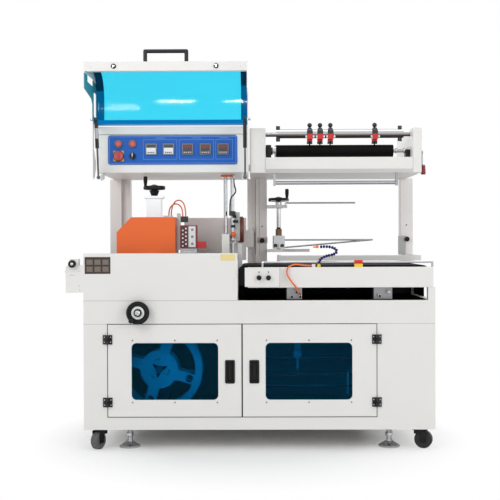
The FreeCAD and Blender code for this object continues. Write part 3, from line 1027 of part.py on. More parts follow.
def cord(label, points, size):
    """A tube along straight runs joined by tangent arcs, as large as the two runs allow."""
    corners = [Vector(*point) for point in points]
    edges = []
    radii = []
    start = corners[0]
    for before, corner, after in zip(corners, corners[1:], corners[2:]):
        into = (corner - before).normalize()
        out = (after - corner).normalize()
        turn = into.getAngle(out)
        trim = 0.45 * min((corner - before).Length, (after - corner).Length)
        radius = trim / math.tan(turn / 2)
        radii.append(radius)
        first, last = corner - into * trim, corner + out * trim
        middle_way = (out - into).normalize()
        centre = corner + middle_way * math.hypot(radius, trim)
        middle = centre - middle_way * radius
        edges.append(Part.LineSegment(start, first).toShape())
        edges.append(Part.Arc(first, middle, last).toShape())
        start = last
    edges.append(Part.LineSegment(start, corners[-1]).toShape())
    path = Part.Wire(edges)
    ring = Part.Wire(Part.Circle(corners[0], corners[1] - corners[0], size / 2).toShape())
    tube = path.makePipeShell([ring], True, False)
    expected = math.pi * size ** 2 / 4 * path.Length
    print(f"{label}: length {path.Length:.1f}, radii {[round(value, 1) for value in radii]},"
          f" volume {tube.Volume / expected:.4f} of section times length")
    piece = doc.addObject("Part::Feature", "Cord")
    piece.Shape = tube
    node(label, piece)


# The routes, from one fitting to the other
OUTER_LOOP = [(-352, -86, 1011), (-352, -86, 1042), (-334, -94, 1078), (-304, -104, 1080), (-285, -115, 1046),
              (-285, -115, 1006)]
INNER_LOOP = [(-364, -76, 1011), (-364, -76, 1038), (-346, -79, 1063), (-321, -88, 1064), (-298, -115, 1040),
              (-298, -115, 1006)]
BEAM_TUBE = [(268, -296, 789), (236, -296, 789), (196, -306, 797), (163, -322, 785), (158, -325, 756),
             (177, -325, 724), (198, -322, 700), (215, -303, 673), (218, -277, 664), (218, -249, 664)]
BLOW_HOSE = [(297, -304, 794), (297, -304, 812), (322, -304, 830), (360, -304, 836), (378, -304, 850),
             (362, -304, 866), (328, -304, 872), (296, -304, 869)]
JAW_CABLE = [(-70, -95, 1178), (-70, -95, 1150), (-57, -97, 1116), (-84, -96, 1091), (-88, -92, 1062),
             (-88, -92, 1030)]


def hoses():
    guard_top = "guard_low + guard_tall"
    outer = OUTER_LOOP[0]
    elbow = box(f"{HEAD_X} + head_body / 2 + 8", f"{HEAD_Y} - 14", guard_top, "44", "22", f"{outer[2]} - ({guard_top})")
    last = OUTER_LOOP[-1]
    block_x = f"{GUARD_X} + guard_wide"
    manifold = box(block_x, f"{last[1]} - 8", f"{last[2]} - 26", f"{last[0]} + 11 - ({block_x})", "16", "26")
    node("seal_head", elbow, manifold)
    cord("outer_air_loop", OUTER_LOOP, sizes["tube_size"])
    cord("inner_air_loop", INNER_LOOP, sizes["tube_size"])
    cord("beam_air_tube", BEAM_TUBE, sizes["beam_tube_size"])
    cord("jaw_cable", JAW_CABLE, sizes["cable_size"])
    x, y, z = BEAM_TUBE[0]
    beam_top = f"{TOP} + beam_low + beam_height"
    node("outfeed_beam", box(x, f"{y} - 7", beam_top, "14", "14", "13"))
    x, y, z = JAW_CABLE[0]
    node("jaw_guides", rod("Z", x, y, z, "fitting_radius", f"box_low - {z}"))


def blow_hose():
    """A jointed hose that keeps the bend it is given, from a foot on the beam to a nozzle at its tip."""
    cord("blow_hose", BLOW_HOSE, sizes["hose_size"])
    x, y, z = BLOW_HOSE[0]
    beam_top = f"{TOP} + beam_low + beam_height"
    foot = rod("Z", x, y, beam_top, "hose_size / 2 + 2", f"{z} + 3 - ({beam_top})")
    x, y, z = BLOW_HOSE[-1]
    nozzle = lathe("X", [("0", "0"), ("2", "0"), ("5", "16"), ("5", "26"), ("0", "26")], (f"{x} - 24", y, z))
    node("blow_hose", foot, nozzle)


# The machine, from the floor up
cabinet()
divider()
door(0, "left")
door(1, "right")
hinges()
feet()
casters()
front_housing()
infeed_end()
conveyor(INFEED_X, "infeed_belt_long", f"{FRONT} + infeed_belt_front", "infeed_belt_wide")
conveyor(OUTFEED_X, "outfeed_belt_long", f"{FRONT} + outfeed_belt_front", "outfeed_belt_wide")
outfeed_frame()
product_guides()
posts()
control_box()
control_panel()
hood()
gas_springs()
rack()
punches()
rack_lever()
seal_head()
sensor_unit()
cross_jaw()
film_guide()
scrap_reel()
front_wheel()
hoses()
blow_hose()

# Each sub-part is one object; pieces that meet are joined
for label, pieces in nodes.items():
    whole = pieces[0] if len(pieces) == 1 else fuse(*pieces)
    whole.Label = label
    nodes[label] = whole
doc.recompute()

for item in doc.Objects:
    if "Invalid" in item.State or "Error" in item.State:
        raise RuntimeError(f"{item.Label} failed: {item.State}")
for label, piece in nodes.items():
    if piece.Shape.isNull() or not piece.Shape.isValid():
        raise RuntimeError(f"{label} has no valid shape")
os.makedirs("parts", exist_ok=True)
for label, piece in nodes.items():
    piece.Shape.exportStep(f"parts/{label}.step")
print(f"{len(nodes)} sub-parts written")
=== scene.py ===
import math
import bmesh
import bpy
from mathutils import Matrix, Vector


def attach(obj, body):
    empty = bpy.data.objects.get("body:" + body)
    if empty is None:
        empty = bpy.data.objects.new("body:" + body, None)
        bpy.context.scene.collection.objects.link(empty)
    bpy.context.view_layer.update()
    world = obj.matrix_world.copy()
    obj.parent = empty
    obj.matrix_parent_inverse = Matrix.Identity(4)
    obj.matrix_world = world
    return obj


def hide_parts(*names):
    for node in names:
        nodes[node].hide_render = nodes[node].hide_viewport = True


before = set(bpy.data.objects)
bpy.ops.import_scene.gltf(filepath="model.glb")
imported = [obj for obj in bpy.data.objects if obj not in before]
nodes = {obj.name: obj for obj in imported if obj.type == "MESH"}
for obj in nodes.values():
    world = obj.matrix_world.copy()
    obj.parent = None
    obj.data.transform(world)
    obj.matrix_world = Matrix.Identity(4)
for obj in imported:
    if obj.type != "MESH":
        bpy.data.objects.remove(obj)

# %% [markdown]
# # A side sealer for film packaging
# The machine is a powder-coated steel base with an open clear hood, a sealing head under an orange
# guard, two belts and a rack of film rollers. The solids come from the frame; this lesson gives
# each of them its finish and adds the small parts that a solid model leaves out.

MM = 0.001
scene = bpy.context.scene
scene.view_settings.view_transform = "Standard"
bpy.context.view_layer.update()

# %% [markdown]
# ## Camera
# The photograph was taken from the front with a long lens. A long lens keeps the uprights nearly
# parallel. The camera stands about four metres in front of the base, a little above the belts, and
# is almost level. Its place and its turns were fitted to the photograph.

# %% Camera
CAMERA_PLACE = (0.0341, -4.2882, 0.8973)
TILT, TURN, ROLL = math.radians(0.58), math.radians(0.44), math.radians(-0.18)
camera_data = bpy.data.cameras.new("front_view")
camera = bpy.data.objects.new("front_view", camera_data)
scene.collection.objects.link(camera)
scene.camera = camera
camera_data.lens = 67.2
camera_data.sensor_width = 36
camera_data.clip_end = 50
camera.matrix_world = (Matrix.Translation(CAMERA_PLACE) @ Matrix.Rotation(TURN, 4, "Z")
                       @ Matrix.Rotation(math.pi / 2 - TILT, 4, "X") @ Matrix.Rotation(ROLL, 4, "Z"))
print("camera stands", round(-camera.location.y, 2), "m in front of the origin")

# %% [markdown]
# ## Light and floor
# A product photograph has big soft lamps: one high on the left front, one on the right front, a wide
# one above and a weak one behind. The clear sheets don't show the lamps themselves.


# %% Lamps
def soft_lamp(name, place, aim, size, watts, shine_only=False):
    lamp = bpy.data.lights.new(name, "AREA")
    lamp.shape = "RECTANGLE"
    lamp.size, lamp.size_y = size
    lamp.energy = watts
    holder = bpy.data.objects.new(name, lamp)
    holder.visible_transmission = False
    holder.visible_diffuse = not shine_only
    scene.collection.objects.link(holder)
    facing = (Vector(aim) - Vector(place)).to_track_quat("-Z", "Y").to_matrix().to_4x4()
    holder.matrix_world = Matrix.Translation(place) @ facing


soft_lamp("lamp_left", (-2.6, -3.2, 2.9), (0, 0, 0.8), (2.2, 2.2), 54)
soft_lamp("lamp_right", (2.8, -2.9, 2.2), (0, 0, 0.8), (2.0, 2.4), 38)
soft_lamp("lamp_top", (0, -0.4, 4.2), (0, 0, 0.5), (3.0, 2.4), 40)
soft_lamp("lamp_back", (0.6, 3.2, 2.6), (0, 0, 1.0), (3.0, 2.0), 26)
print("four soft lamps")

# %% [markdown]
# The clear hood mirrors the studio as a few bright streaks. Three narrow lamps draw them. They show
# in reflections only and don't light the machine.

# %% Narrow lamps for the streaks on the hood
STREAK_LAMP_Y, HOOD_SHEET_Y = -3.0, -0.247
for name, start, end, height, thick, watts in (("tube_left", -0.685, -0.408, 1.912, 0.011, 6.0),
                                               ("tube_right", -0.208, -0.035, 1.912, 0.011, 3.6),
                                               ("far_window", -1.115, -0.819, 1.872, 0.040, 4.0)):
    middle = (start + end) / 2
    soft_lamp(name, (middle, STREAK_LAMP_Y, height), (middle, HOOD_SHEET_Y, height), (end - start, thick),
              watts, shine_only=True)
print("three narrow lamps")

# %% [markdown]
# The world is white and dim as a source of light. Rays from the camera, reflections and rays through
# the clear sheets see it at full strength, so the chrome mirrors a white room.

# %% World
WORLD_LIGHT, WORLD_SEEN = 0.5, 1.0
world = bpy.data.worlds.new("studio")
scene.world = world
world.use_nodes = True
tree = world.node_tree
tree.nodes.clear()
leave = tree.nodes.new("ShaderNodeOutputWorld")
mix = tree.nodes.new("ShaderNodeMixShader")
path = tree.nodes.new("ShaderNodeLightPath")
seen = path.outputs["Is Camera Ray"]
for kind in ("Is Glossy Ray", "Is Transmission Ray"):
    either = tree.nodes.new("ShaderNodeMath")
    either.operation = "MAXIMUM"
    tree.links.new(seen, either.inputs[0])
    tree.links.new(path.outputs[kind], either.inputs[1])
    seen = either.outputs[0]
tree.links.new(seen, mix.inputs[0])
for slot, strength in ((1, WORLD_LIGHT), (2, WORLD_SEEN)):
    background = tree.nodes.new("ShaderNodeBackground")
    background.inputs["Color"].default_value = (1, 1, 1, 1)
    background.inputs["Strength"].default_value = strength
    tree.links.new(background.outputs[0], mix.inputs[slot])
tree.links.new(mix.outputs[0], leave.inputs[0])
print("a white world")

# %% [markdown]
# The floor is a sheet of pale paper. Near the machine it keeps the shadow. Further out it fades to
# plain white for the camera, so that it meets the background without an edge.

# %% Floor
FADE_START, FADE_END = 0.5, 0.98
floor_mesh = bpy.data.meshes.new("floor")
bm = bmesh.new()
bmesh.ops.create_grid(bm, x_segments=1, y_segments=1, size=9)
bm.to_mesh(floor_mesh)
bm.free()
floor = bpy.data.objects.new("floor", floor_mesh)
scene.collection.objects.link(floor)
paper = bpy.data.materials.new("white_paper")
paper.use_nodes = True
n, link = paper.node_tree.nodes, paper.node_tree.links.new
sheet = n["Principled BSDF"]
sheet.inputs["Base Color"].default_value = (0.93, 0.93, 0.93, 1)
sheet.inputs["Roughness"].default_value = 0.9
sheet.inputs["Specular IOR Level"].default_value = 0.1
spot, reach = n.new("ShaderNodeTexCoord"), n.new("ShaderNodeVectorMath")
reach.operation = "LENGTH"
fade = n.new("ShaderNodeMapRange")
fade.inputs["From Min"].default_value = FADE_START
fade.inputs["From Max"].default_value = FADE_END
path, both = n.new("ShaderNodeLightPath"), n.new("ShaderNodeMath")
both.operation = "MULTIPLY"
white, blend = n.new("ShaderNodeEmission"), n.new("ShaderNodeMixShader")
link(spot.outputs["Object"], reach.inputs[0])
link(reach.outputs["Value"], fade.inputs["Value"])
link(fade.outputs["Result"], both.inputs[0])
link(path.outputs["Is Camera Ray"], both.inputs[1])
link(both.outputs[0], blend.inputs[0])
link(sheet.outputs[0], blend.inputs[1])
link(white.outputs[0], blend.inputs[2])
link(blend.outputs[0], n["Material Output"].inputs["Surface"])
floor_mesh.materials.append(paper)
print("a pale floor that fades to white")

# %% [markdown]
# ## Finishes
# Most of the machine is powder coat, brushed or polished steel, moulded black plastic and rubber.
# Real paint isn't one flat colour: it has a fine orange-peel bump, faint clouds of tone and slightly
# duller patches where hands touch it. One node group makes these three from noise, and each
# material gives it its own scale and strength.


# %% Shared effect: clouds of tone and fine grain
def make_surface_group():
    group = bpy.data.node_groups.new("Surface Life", "ShaderNodeTree")
    face = group.interface
    for name, kind, value in (("Colour", "NodeSocketColor", (0.8, 0.8, 0.8, 1)),
                              ("Roughness", "NodeSocketFloat", 0.4),
                              ("Cloud Scale", "NodeSocketFloat", 6.0),
                              ("Cloud Amount", "NodeSocketFloat", 0.05),
                              ("Grain Scale", "NodeSocketFloat", 900.0),
                              ("Grain Depth", "NodeSocketFloat", 0.05),
                              ("Stretch", "NodeSocketVector", (1, 1, 1))):
        socket = face.new_socket(name=name, in_out="INPUT", socket_type=kind)
        socket.default_value = value
    face.new_socket(name="Colour", in_out="OUTPUT", socket_type="NodeSocketColor")
    face.new_socket(name="Roughness", in_out="OUTPUT", socket_type="NodeSocketFloat")
    face.new_socket(name="Normal", in_out="OUTPUT", socket_type="NodeSocketVector")
    n, link = group.nodes, group.links.new
    enter, leave = n.new("NodeGroupInput"), n.new("NodeGroupOutput")
    place = n.new("ShaderNodeTexCoord")
    stretch = n.new("ShaderNodeVectorMath")
    stretch.operation = "MULTIPLY"
    clouds, grain = n.new("ShaderNodeTexNoise"), n.new("ShaderNodeTexNoise")
    clouds.inputs["Detail"].default_value = 4
    grain.inputs["Detail"].default_value = 2
    link(place.outputs["Object"], clouds.inputs["Vector"])
    link(place.outputs["Object"], stretch.inputs[0])
    link(enter.outputs["Stretch"], stretch.inputs[1])
    link(stretch.outputs[0], grain.inputs["Vector"])
    link(enter.outputs["Cloud Scale"], clouds.inputs["Scale"])
    link(enter.outputs["Grain Scale"], grain.inputs["Scale"])
    swing = n.new("ShaderNodeMath")
    swing.operation = "SUBTRACT"
    swing.inputs[1].default_value = 0.5
    link(clouds.outputs["Fac"], swing.inputs[0])
    scaled = n.new("ShaderNodeMath")
    scaled.operation = "MULTIPLY"
    link(swing.outputs[0], scaled.inputs[0])
    link(enter.outputs["Cloud Amount"], scaled.inputs[1])
    lift = n.new("ShaderNodeMath")
    lift.operation = "ADD"
    lift.inputs[1].default_value = 1.0
    link(scaled.outputs[0], lift.inputs[0])
    tone = n.new("ShaderNodeVectorMath")
    tone.operation = "SCALE"
    link(enter.outputs["Colour"], tone.inputs[0])
    link(lift.outputs[0], tone.inputs["Scale"])
    link(tone.outputs[0], leave.inputs["Colour"])
    rough = n.new("ShaderNodeMath")
    rough.operation = "MULTIPLY_ADD"
    link(scaled.outputs[0], rough.inputs[0])
    rough.inputs[1].default_value = -1.2
    link(enter.outputs["Roughness"], rough.inputs[2])
    link(rough.outputs[0], leave.inputs["Roughness"])
    bump = n.new("ShaderNodeBump")
    bump.inputs["Distance"].default_value = 0.0004
    link(enter.outputs["Grain Depth"], bump.inputs["Strength"])
    link(grain.outputs["Fac"], bump.inputs["Height"])
    link(bump.outputs["Normal"], leave.inputs["Normal"])
    return group


surface_life = make_surface_group()
print("group", surface_life.name, "has", len(surface_life.nodes), "nodes")

# %% [markdown]
# A second group gives a mask that is 1 inside a box of the object's own space and 0 outside. It
# compares the Object coordinates with the two corners on each axis and multiplies the six answers.


# %% Shared effect: a mask that is 1 inside a box of the object
def make_region_group():
    group = bpy.data.node_groups.new("Inside Box", "ShaderNodeTree")
    face = group.interface
    for name in ("Low", "High"):
        face.new_socket(name=name, in_out="INPUT", socket_type="NodeSocketVector")
    face.new_socket(name="Mask", in_out="OUTPUT", socket_type="NodeSocketFloat")
    n, link = group.nodes, group.links.new
    enter, leave = n.new("NodeGroupInput"), n.new("NodeGroupOutput")
    place = n.new("ShaderNodeTexCoord")
    masks = []
    for first, second in (("place", "Low"), ("High", "place")):
        gap = n.new("ShaderNodeVectorMath")
        gap.operation = "SUBTRACT"
        for i, source in enumerate((first, second)):
            link(place.outputs["Object"] if source == "place" else enter.outputs[source], gap.inputs[i])
        parts = n.new("ShaderNodeSeparateXYZ")
        link(gap.outputs[0], parts.inputs[0])
        for axis in range(3):
            above = n.new("ShaderNodeMath")
            above.operation = "GREATER_THAN"
            above.inputs[1].default_value = 0.0
            link(parts.outputs[axis], above.inputs[0])
            masks.append(above)
    whole = masks[0]
    for mask in masks[1:]:
        both = n.new("ShaderNodeMath")
        both.operation = "MULTIPLY"
        link(whole.outputs[0], both.inputs[0])
        link(mask.outputs[0], both.inputs[1])
        whole = both
    link(whole.outputs[0], leave.inputs["Mask"])
    return group


inside_box = make_region_group()
print("group", inside_box.name, "has", len(inside_box.nodes), "nodes")

# %% [markdown]
# A finish is a small set of numbers: colour, roughness, metal or not, the clouds and the grain.
# Several solids are made of more than one stuff, such as a rod on a painted beam, and some carry
# painted shade and painted reflections. There the material lays a second finish over the first inside
# a box of the object's own space.


# %% A finish, and a second one laid over it inside a box
CLOUD_SCALE = 6


def finish(colour, rough, metal=0.0, clouds=0.04, grain=0.05, grain_scale=900, stretch=(1, 1, 1)):
    return dict(colour=colour, rough=rough, metal=metal, clouds=clouds, grain=grain,
                grain_scale=grain_scale, stretch=stretch)


def box_mask(n, low, high):
    mask = n.new("ShaderNodeGroup")
    mask.node_tree = inside_box
    mask.inputs["Low"].default_value = [v * MM for v in low]
    mask.inputs["High"].default_value = [v * MM for v in high]
    return mask.outputs[0]


def lay_over(n, link, mask, under, base, other):
    """Mix a colour or value, inside the mask, over what lies under it: a socket, or else the base."""
    is_colour = isinstance(base, tuple)
    blend = n.new("ShaderNodeMix")
    blend.data_type = "RGBA" if is_colour else "FLOAT"
    first, second, result = (6, 7, 2) if is_colour else (2, 3, 0)
    blend.inputs[first].default_value = (*base, 1) if is_colour else base
    if under:
        link(under, blend.inputs[first])
    blend.inputs[second].default_value = (*other, 1) if is_colour else other
    link(mask, blend.inputs[0])
    return blend.outputs[result]


print("finishes can be laid over each other in boxes")

# %% [markdown]
# Each material holds its own Principled shader and takes tone, roughness and bump from the group.


# %% A material from a finish and its boxes
def make_material(name, base, regions=(), coat=0.0, gloss=0.5):
    material = bpy.data.materials.new(name)
    material.use_nodes = True
    n, link = material.node_tree.nodes, material.node_tree.links.new
    shader = n["Principled BSDF"]
    life = n.new("ShaderNodeGroup")
    life.node_tree = surface_life
    life.inputs["Cloud Scale"].default_value = CLOUD_SCALE
    life.inputs["Cloud Amount"].default_value = base["clouds"]
    life.inputs["Grain Scale"].default_value = base["grain_scale"]
    life.inputs["Grain Depth"].default_value = base["grain"]
    life.inputs["Stretch"].default_value = base["stretch"]
    life.inputs["Colour"].default_value = (*base["colour"], 1)
    life.inputs["Roughness"].default_value = base["rough"]
    shader.inputs["Metallic"].default_value = base["metal"]
    shader.inputs["Coat Weight"].default_value = coat
    shader.inputs["Specular IOR Level"].default_value = gloss
    colour = rough = metal = None
    for low, high, other in regions:
        mask = box_mask(n, low, high)
        colour, rough, metal = [lay_over(n, link, mask, under, base[key], other[key])
                                for under, key in ((colour, "colour"), (rough, "rough"), (metal, "metal"))]
    if colour:
        link(colour, life.inputs["Colour"])
        link(rough, life.inputs["Roughness"])
        link(metal, shader.inputs["Metallic"])
    link(life.outputs["Colour"], shader.inputs["Base Color"])
    link(life.outputs["Roughness"], shader.inputs["Roughness"])
    link(life.outputs["Normal"], shader.inputs["Normal"])
    return material


print("materials can be made")

# %% The finishes of the machine
PAINT = finish((0.79, 0.78, 0.76), 0.38, clouds=0.03, grain=0.12, grain_scale=700)
STEEL = finish((0.36, 0.36, 0.37), 0.32, 1.0, clouds=0.1, grain=0.1, stretch=(1, 1, 12))
CHROME = finish((0.50, 0.51, 0.53), 0.16, 1.0, clouds=0.06, grain=0.02)
DARK_STEEL = finish((0.16, 0.16, 0.17), 0.35, 1.0, clouds=0.2)
BLACK = finish((0.006, 0.006, 0.007), 0.42, clouds=0.25, grain=0.25, grain_scale=1600)
RUBBER = finish((0.003, 0.003, 0.003), 0.7, clouds=0.3, grain=0.2, grain_scale=1200)
BELT = finish((0.008, 0.008, 0.010), 0.8, clouds=0.3, grain=0.5, grain_scale=500, stretch=(1, 6, 1))
ORANGE = finish((0.83, 0.13, 0.012), 0.32, clouds=0.08, grain=0.08)
RED = finish((0.62, 0.018, 0.02), 0.3, clouds=0.1)
BLUE_FILM = finish((0.002, 0.105, 0.48), 0.35, clouds=0.05)
YELLOW = finish((0.85, 0.60, 0.02), 0.35, clouds=0.06)
DARK_RED = finish((0.20, 0.055, 0.035), 0.5, clouds=0.2)
# Painted shade for the inside of the base.
INNER_SHADE = finish((0.03, 0.035, 0.04), 0.7, clouds=0.3)
# Painted shade for faces that look down.
UNDERSIDE_SHADE = finish((0.26, 0.23, 0.22), 0.5)
# Painted shade for gaps and holes.
GAP_SHADE = finish((0.02, 0.02, 0.02), 0.8)
print("finishes are ready")

# %% [markdown]
# ## Clear sheets
# The hood and the door windows are acrylic sheet tinted cyan-blue. A thin sheet lets most light
# straight through and tints it, so it is a Principled shader with plain transmission and low
# roughness. Its index is far below that of acrylic, so that the view through it isn't bent. In the
# photograph the hood's sides, corners and lower rim are darker, so boxes give them other tints.


# %% Tinted acrylic
def clear_sheet(name, tint, rough, clear, regions=()):
    material = bpy.data.materials.new(name)
    material.use_nodes = True
    n, link = material.node_tree.nodes, material.node_tree.links.new
    shader = n["Principled BSDF"]
    shader.inputs["Transmission Weight"].default_value = clear
    shader.inputs["IOR"].default_value = 1.1
    life = n.new("ShaderNodeGroup")
    life.node_tree = surface_life
    life.inputs["Colour"].default_value = (*tint, 1)
    life.inputs["Roughness"].default_value = rough
    life.inputs["Cloud Amount"].default_value = 0.12
    life.inputs["Cloud Scale"].default_value = 3
    life.inputs["Grain Depth"].default_value = 0.0
    colour = None
    for low, high, other in regions:
        colour = lay_over(n, link, box_mask(n, low, high), colour, tint, other)
    if colour:
        link(colour, life.inputs["Colour"])
    link(life.outputs["Colour"], shader.inputs["Base Color"])
    link(life.outputs["Roughness"], shader.inputs["Roughness"])
    return material


SIDE_TINT, RIM_TINT, CORNER_TINT = (0.0, 0.115, 0.29), (0.0, 0.20, 0.52), (0.0, 0.030, 0.075)
hood_clear = clear_sheet("cyan_acrylic", (0.055, 0.72, 0.96), 0.03, 0.93, [
    ((-700, -600, 1300), (-626, 0, 1700), SIDE_TINT),
    ((-34, -600, 1300), (100, 0, 1700), SIDE_TINT),
    ((-700, -600, 1545), (-626, 0, 1700), CORNER_TINT),
    ((-34, -600, 1565), (100, 0, 1700), CORNER_TINT),
    ((-700, -600, 1300), (100, 0, 1421), RIM_TINT)])
window_clear = clear_sheet("blue_window", (0.008, 0.42, 0.70), 0.04, 0.985)
print("two clear sheets")

# %% [markdown]
# ## Dressing the solids
# Each solid gets one material. Where it is made of several stuffs, and where it carries painted shade
# or a painted reflection, rows of low corner, high corner and finish say what lies inside which box, in
# millimetres. A later row lies over an earlier one.


# %% Painted sheet metal
def dress(material, *names):
    for name in names:
        slots = nodes[name].data.materials
        slots.clear()
        slots.append(material)


paint = make_material("white_powder_coat", PAINT)
black = make_material("black_moulding", BLACK, gloss=0.25)
dress(paint, "left_door", "right_door", "front_housing")
# The lower part of the control case carries painted shade, and a thin line of painted shade marks a gap in its
# front.
dress(make_material("case_paint_with_painted_shade", PAINT, [
    ((-800, -300, 1100), (100, 300, 1194), UNDERSIDE_SHADE),
    ((-800, -300, 1357.4), (100, -200, 1358.8), GAP_SHADE)]), "control_case")
# The teal patch on the left side of the hood frame is a painted reflection of the cyan sheet.
dress(make_material("hood_paint_with_painted_reflection", PAINT, [
    ((-720, -560, 1404), (-655, -240, 1574), finish((0.06, 0.22, 0.27), 0.4))]), "hood_frame")
# Painted shade: the inside of the cabinet, the edges of the door openings and the recess floor.
dress(make_material("cabinet_paint_with_painted_shade", PAINT, [
    ((-694, -279, 104), (777, 523, 628), INNER_SHADE),
    ((-48, -309, 641), (762, 205, 643), BLACK),
    ((-607, -312.4, 143), (544, -280, 543), GAP_SHADE)], gloss=0.2), "cabinet")
dress(make_material("beam_finish", PAINT, [
    ((55, -296, 783), (790, -285, 812), CHROME),
    ((440, -312, 783.5), (490, -296, 815), RED),
    ((440, -312, 783.5), (490, -296, 797), YELLOW)]), "outfeed_beam")
dress(make_material("post_finish", finish((0.90, 0.87, 0.85), 0.4, clouds=0.08), [
    ((120, 150, 1068), (520, 176, 1082), CHROME)]), "frame_posts")
dress(make_material("rack_finish", PAINT, [
    ((72, -170, 1262), (105, -80, 1325), BLACK),
    ((100, -180, 1130), (660, -145, 1193.9), STEEL)]), "film_rack")
dress(make_material("fork_finish", PAINT, [
    ((138, 150, 860), (590, 180, 905), CHROME),
    ((108, 100, 866), (168, 162, 884), BLACK),
    ((108, 140, 884), (170, 212, 920), CHROME),
    ((108, 150, 920.2), (168, 212, 960), finish((0.22, 0.12, 0.05), 0.5))]), "film_guide")
dress(make_material("reel_paint", finish((0.85, 0.86, 0.87), 0.45, clouds=0.1)), "scrap_reel")
print("painted solids are dressed")

# %% [markdown]
# The belts are dull black fabric over black beds. The steel fittings carry black hinge leaves,
# painted brackets, a dark spindle and chrome feet.

# %% Belts, beds and fittings
dress(make_material("belt_fabric", BELT, gloss=0.1), "conveyor_belts")
dress(make_material("bed_steel", finish((0.008, 0.008, 0.009), 0.6, clouds=0.2), [
    ((162, -300, 640), (232, 160, 704.5), STEEL),
    ((538, -300, 640), (628, 160, 704.5), STEEL)], gloss=0.15), "conveyor_beds")
dress(make_material("fittings", STEEL, [
    ((-700, -330, 180), (780, -312, 500), BLACK),
    ((-662, -330, 1150), (0, -100, 1240), PAINT),
    ((-450, -250, 100), (-350, 0, 380), DARK_STEEL),
    ((-800, -400, 0), (800, 600, 60), CHROME)]), "steel_fittings")
print("belts, beds and fittings are dressed")

# %% [markdown]
# The film rack has a chrome punch bar with black and red punch heads, a rubber roller on chrome
# shaft ends and a polished guide roller.

# %% Film rack
PUNCHES = (269.5, 315.5, 361.5, 558.5)
PUNCH_HALF = 13
# The dark band and the brownish metal strip that run along the bar are a painted reflection.
bar_regions = [((60, -200, 1354), (730, -60, 1364), finish((0.025, 0.025, 0.025), 0.4)),
               ((60, -200, 1364), (730, -60, 1369), finish((0.30, 0.24, 0.22), 0.3, 1.0)),
               ((118, -140, 1390), (682, -100, 1412), BLACK),
               ((118, -140, 1330), (682, -100, 1354), BLACK)]
for x in PUNCHES:
    bar_regions += [((x - PUNCH_HALF, -200, 1290), (x + PUNCH_HALF, -40, 1430), BLACK),
                    ((x - PUNCH_HALF, -200, 1338), (x + PUNCH_HALF, -40, 1369), RED)]
dress(make_material("bar_finish", CHROME, bar_regions), "punch_bar")
dress(make_material("rubber_cover", RUBBER, [
    ((0, -300, 1200), (119, 0, 1400), CHROME),
    ((641, -300, 1200), (800, 0, 1400), CHROME)], gloss=0.1), "rubber_roller")
dress(make_material("polished", CHROME), "guide_roller")
dress(black, "needle_wheels")
dress(make_material("lever_finish", STEEL, [
    ((740, -200, 1170), (800, -120, 1226), finish((0.22, 0.008, 0.015), 0.35))]), "rack_lever")
print("film rack is dressed")

# %% [markdown]
# The sealing head has an orange guard and steel edges. Beside it stand the jaw with its guides, the
# red counter and the sensor, and the air hoses loop between them.

# %% Sealing head, jaw, sensor, hoses
dress(make_material("column_aluminium", finish((0.62, 0.63, 0.64), 0.3, 1.0, clouds=0.08, grain=0.15,
                                               stretch=(12, 12, 1))), "seal_column")
dress(make_material("head_finish", ORANGE, [
    ((-323.9, -150, 850), (-306, -100, 1021), STEEL),
    ((-324, -124, 979), (-270, -106, 1007), BLACK),
    ((-400, -100, 1001.1), (-340, -70, 1012), CHROME)]), "seal_head")
dress(make_material("jaw_finish", CHROME, [
    ((-57, -60, 880), (-26, 80, 1015), DARK_RED),
    ((-130, -90, 1184.1), (-66, -40, 1195), ORANGE),
    ((-130, -205, 640), (-70, 80, 800), PAINT),
    ((-100, -105, 1009), (-60, -40, 1031), BLACK)]), "jaw_guides")
dress(make_material("jaw_block", finish((0.74, 0.73, 0.70), 0.4)), "upper_jaw")
dress(make_material("sensor_finish", STEEL, [
    ((-321, -170, 863), (-231, -100, 967), finish((0.30, 0.035, 0.04), 0.4)),
    ((-302, -172, 868), (-270, -167, 962), finish((0.07, 0.012, 0.012), 0.4)),
    ((-232, -160, 860), (-190, -120, 900), RED)]), "sensor_unit")
dress(make_material("hose_finish", finish((0.012, 0.008, 0.10), 0.3), [
    ((250, -320, 855), (296.5, -290, 885), ORANGE),
    ((280, -320, 780), (312, -290, 797), YELLOW)]), "blow_hose")
orange_tube = make_material("tube_orange", finish((0.80, 0.16, 0.03), 0.28))
cable_jacket = make_material("cable_jacket", RUBBER)
dress(orange_tube, "outer_air_loop", "inner_air_loop", "beam_air_tube")
dress(cable_jacket, "jaw_cable")
print("sealing parts are dressed")

# %% [markdown]
# Knobs, grips and handles are black mouldings. The panel is a saturated blue film with red caps.
# The casters are black, and the tyre of the front left one is lighter grey, a painted highlight.

# %% Mouldings, panel, springs, clear sheets, casters
BUMPERS, BAR_MIDDLE, HALF_SCREW = (-540.5, -128.5), 1599, 4.2
bumper_spots = [((x - HALF_SCREW, -544, BAR_MIDDLE - HALF_SCREW),
                 (x + HALF_SCREW, -541, BAR_MIDDLE + HALF_SCREW), CHROME) for x in BUMPERS]
dress(black, "left_door_fittings", "right_door_fittings", "infeed_knob", "speed_knob_left",
      "speed_knob_right", "selector_knob", "seal_hand_wheel", "front_hand_wheel", "seal_crank_grip",
      "guide_crank_grip", "front_left_caster_fork", "front_right_caster_fork")
dress(make_material("screw_wheel", BLACK, [
    ((100, 140, 960), (180, 230, 1088), CHROME)], gloss=0.25), "guide_hand_wheel")
dress(make_material("hood_trim", BLACK, [
    ((-760, -420, 1404), (60, -250, 1442), CHROME), *bumper_spots], gloss=0.3), "hood_fittings")
dress(make_material("meter_case", finish((0.20, 0.21, 0.22), 0.4), [
    ((-590, -250, 1242), (-541, -240, 1290), finish((0.60, 0.36, 0.06), 0.4)),
    ((-590, -260, 1296), (-480, -239, 1340), finish((0.08, 0.08, 0.08), 0.3, 1.0))]), "panel_meters")
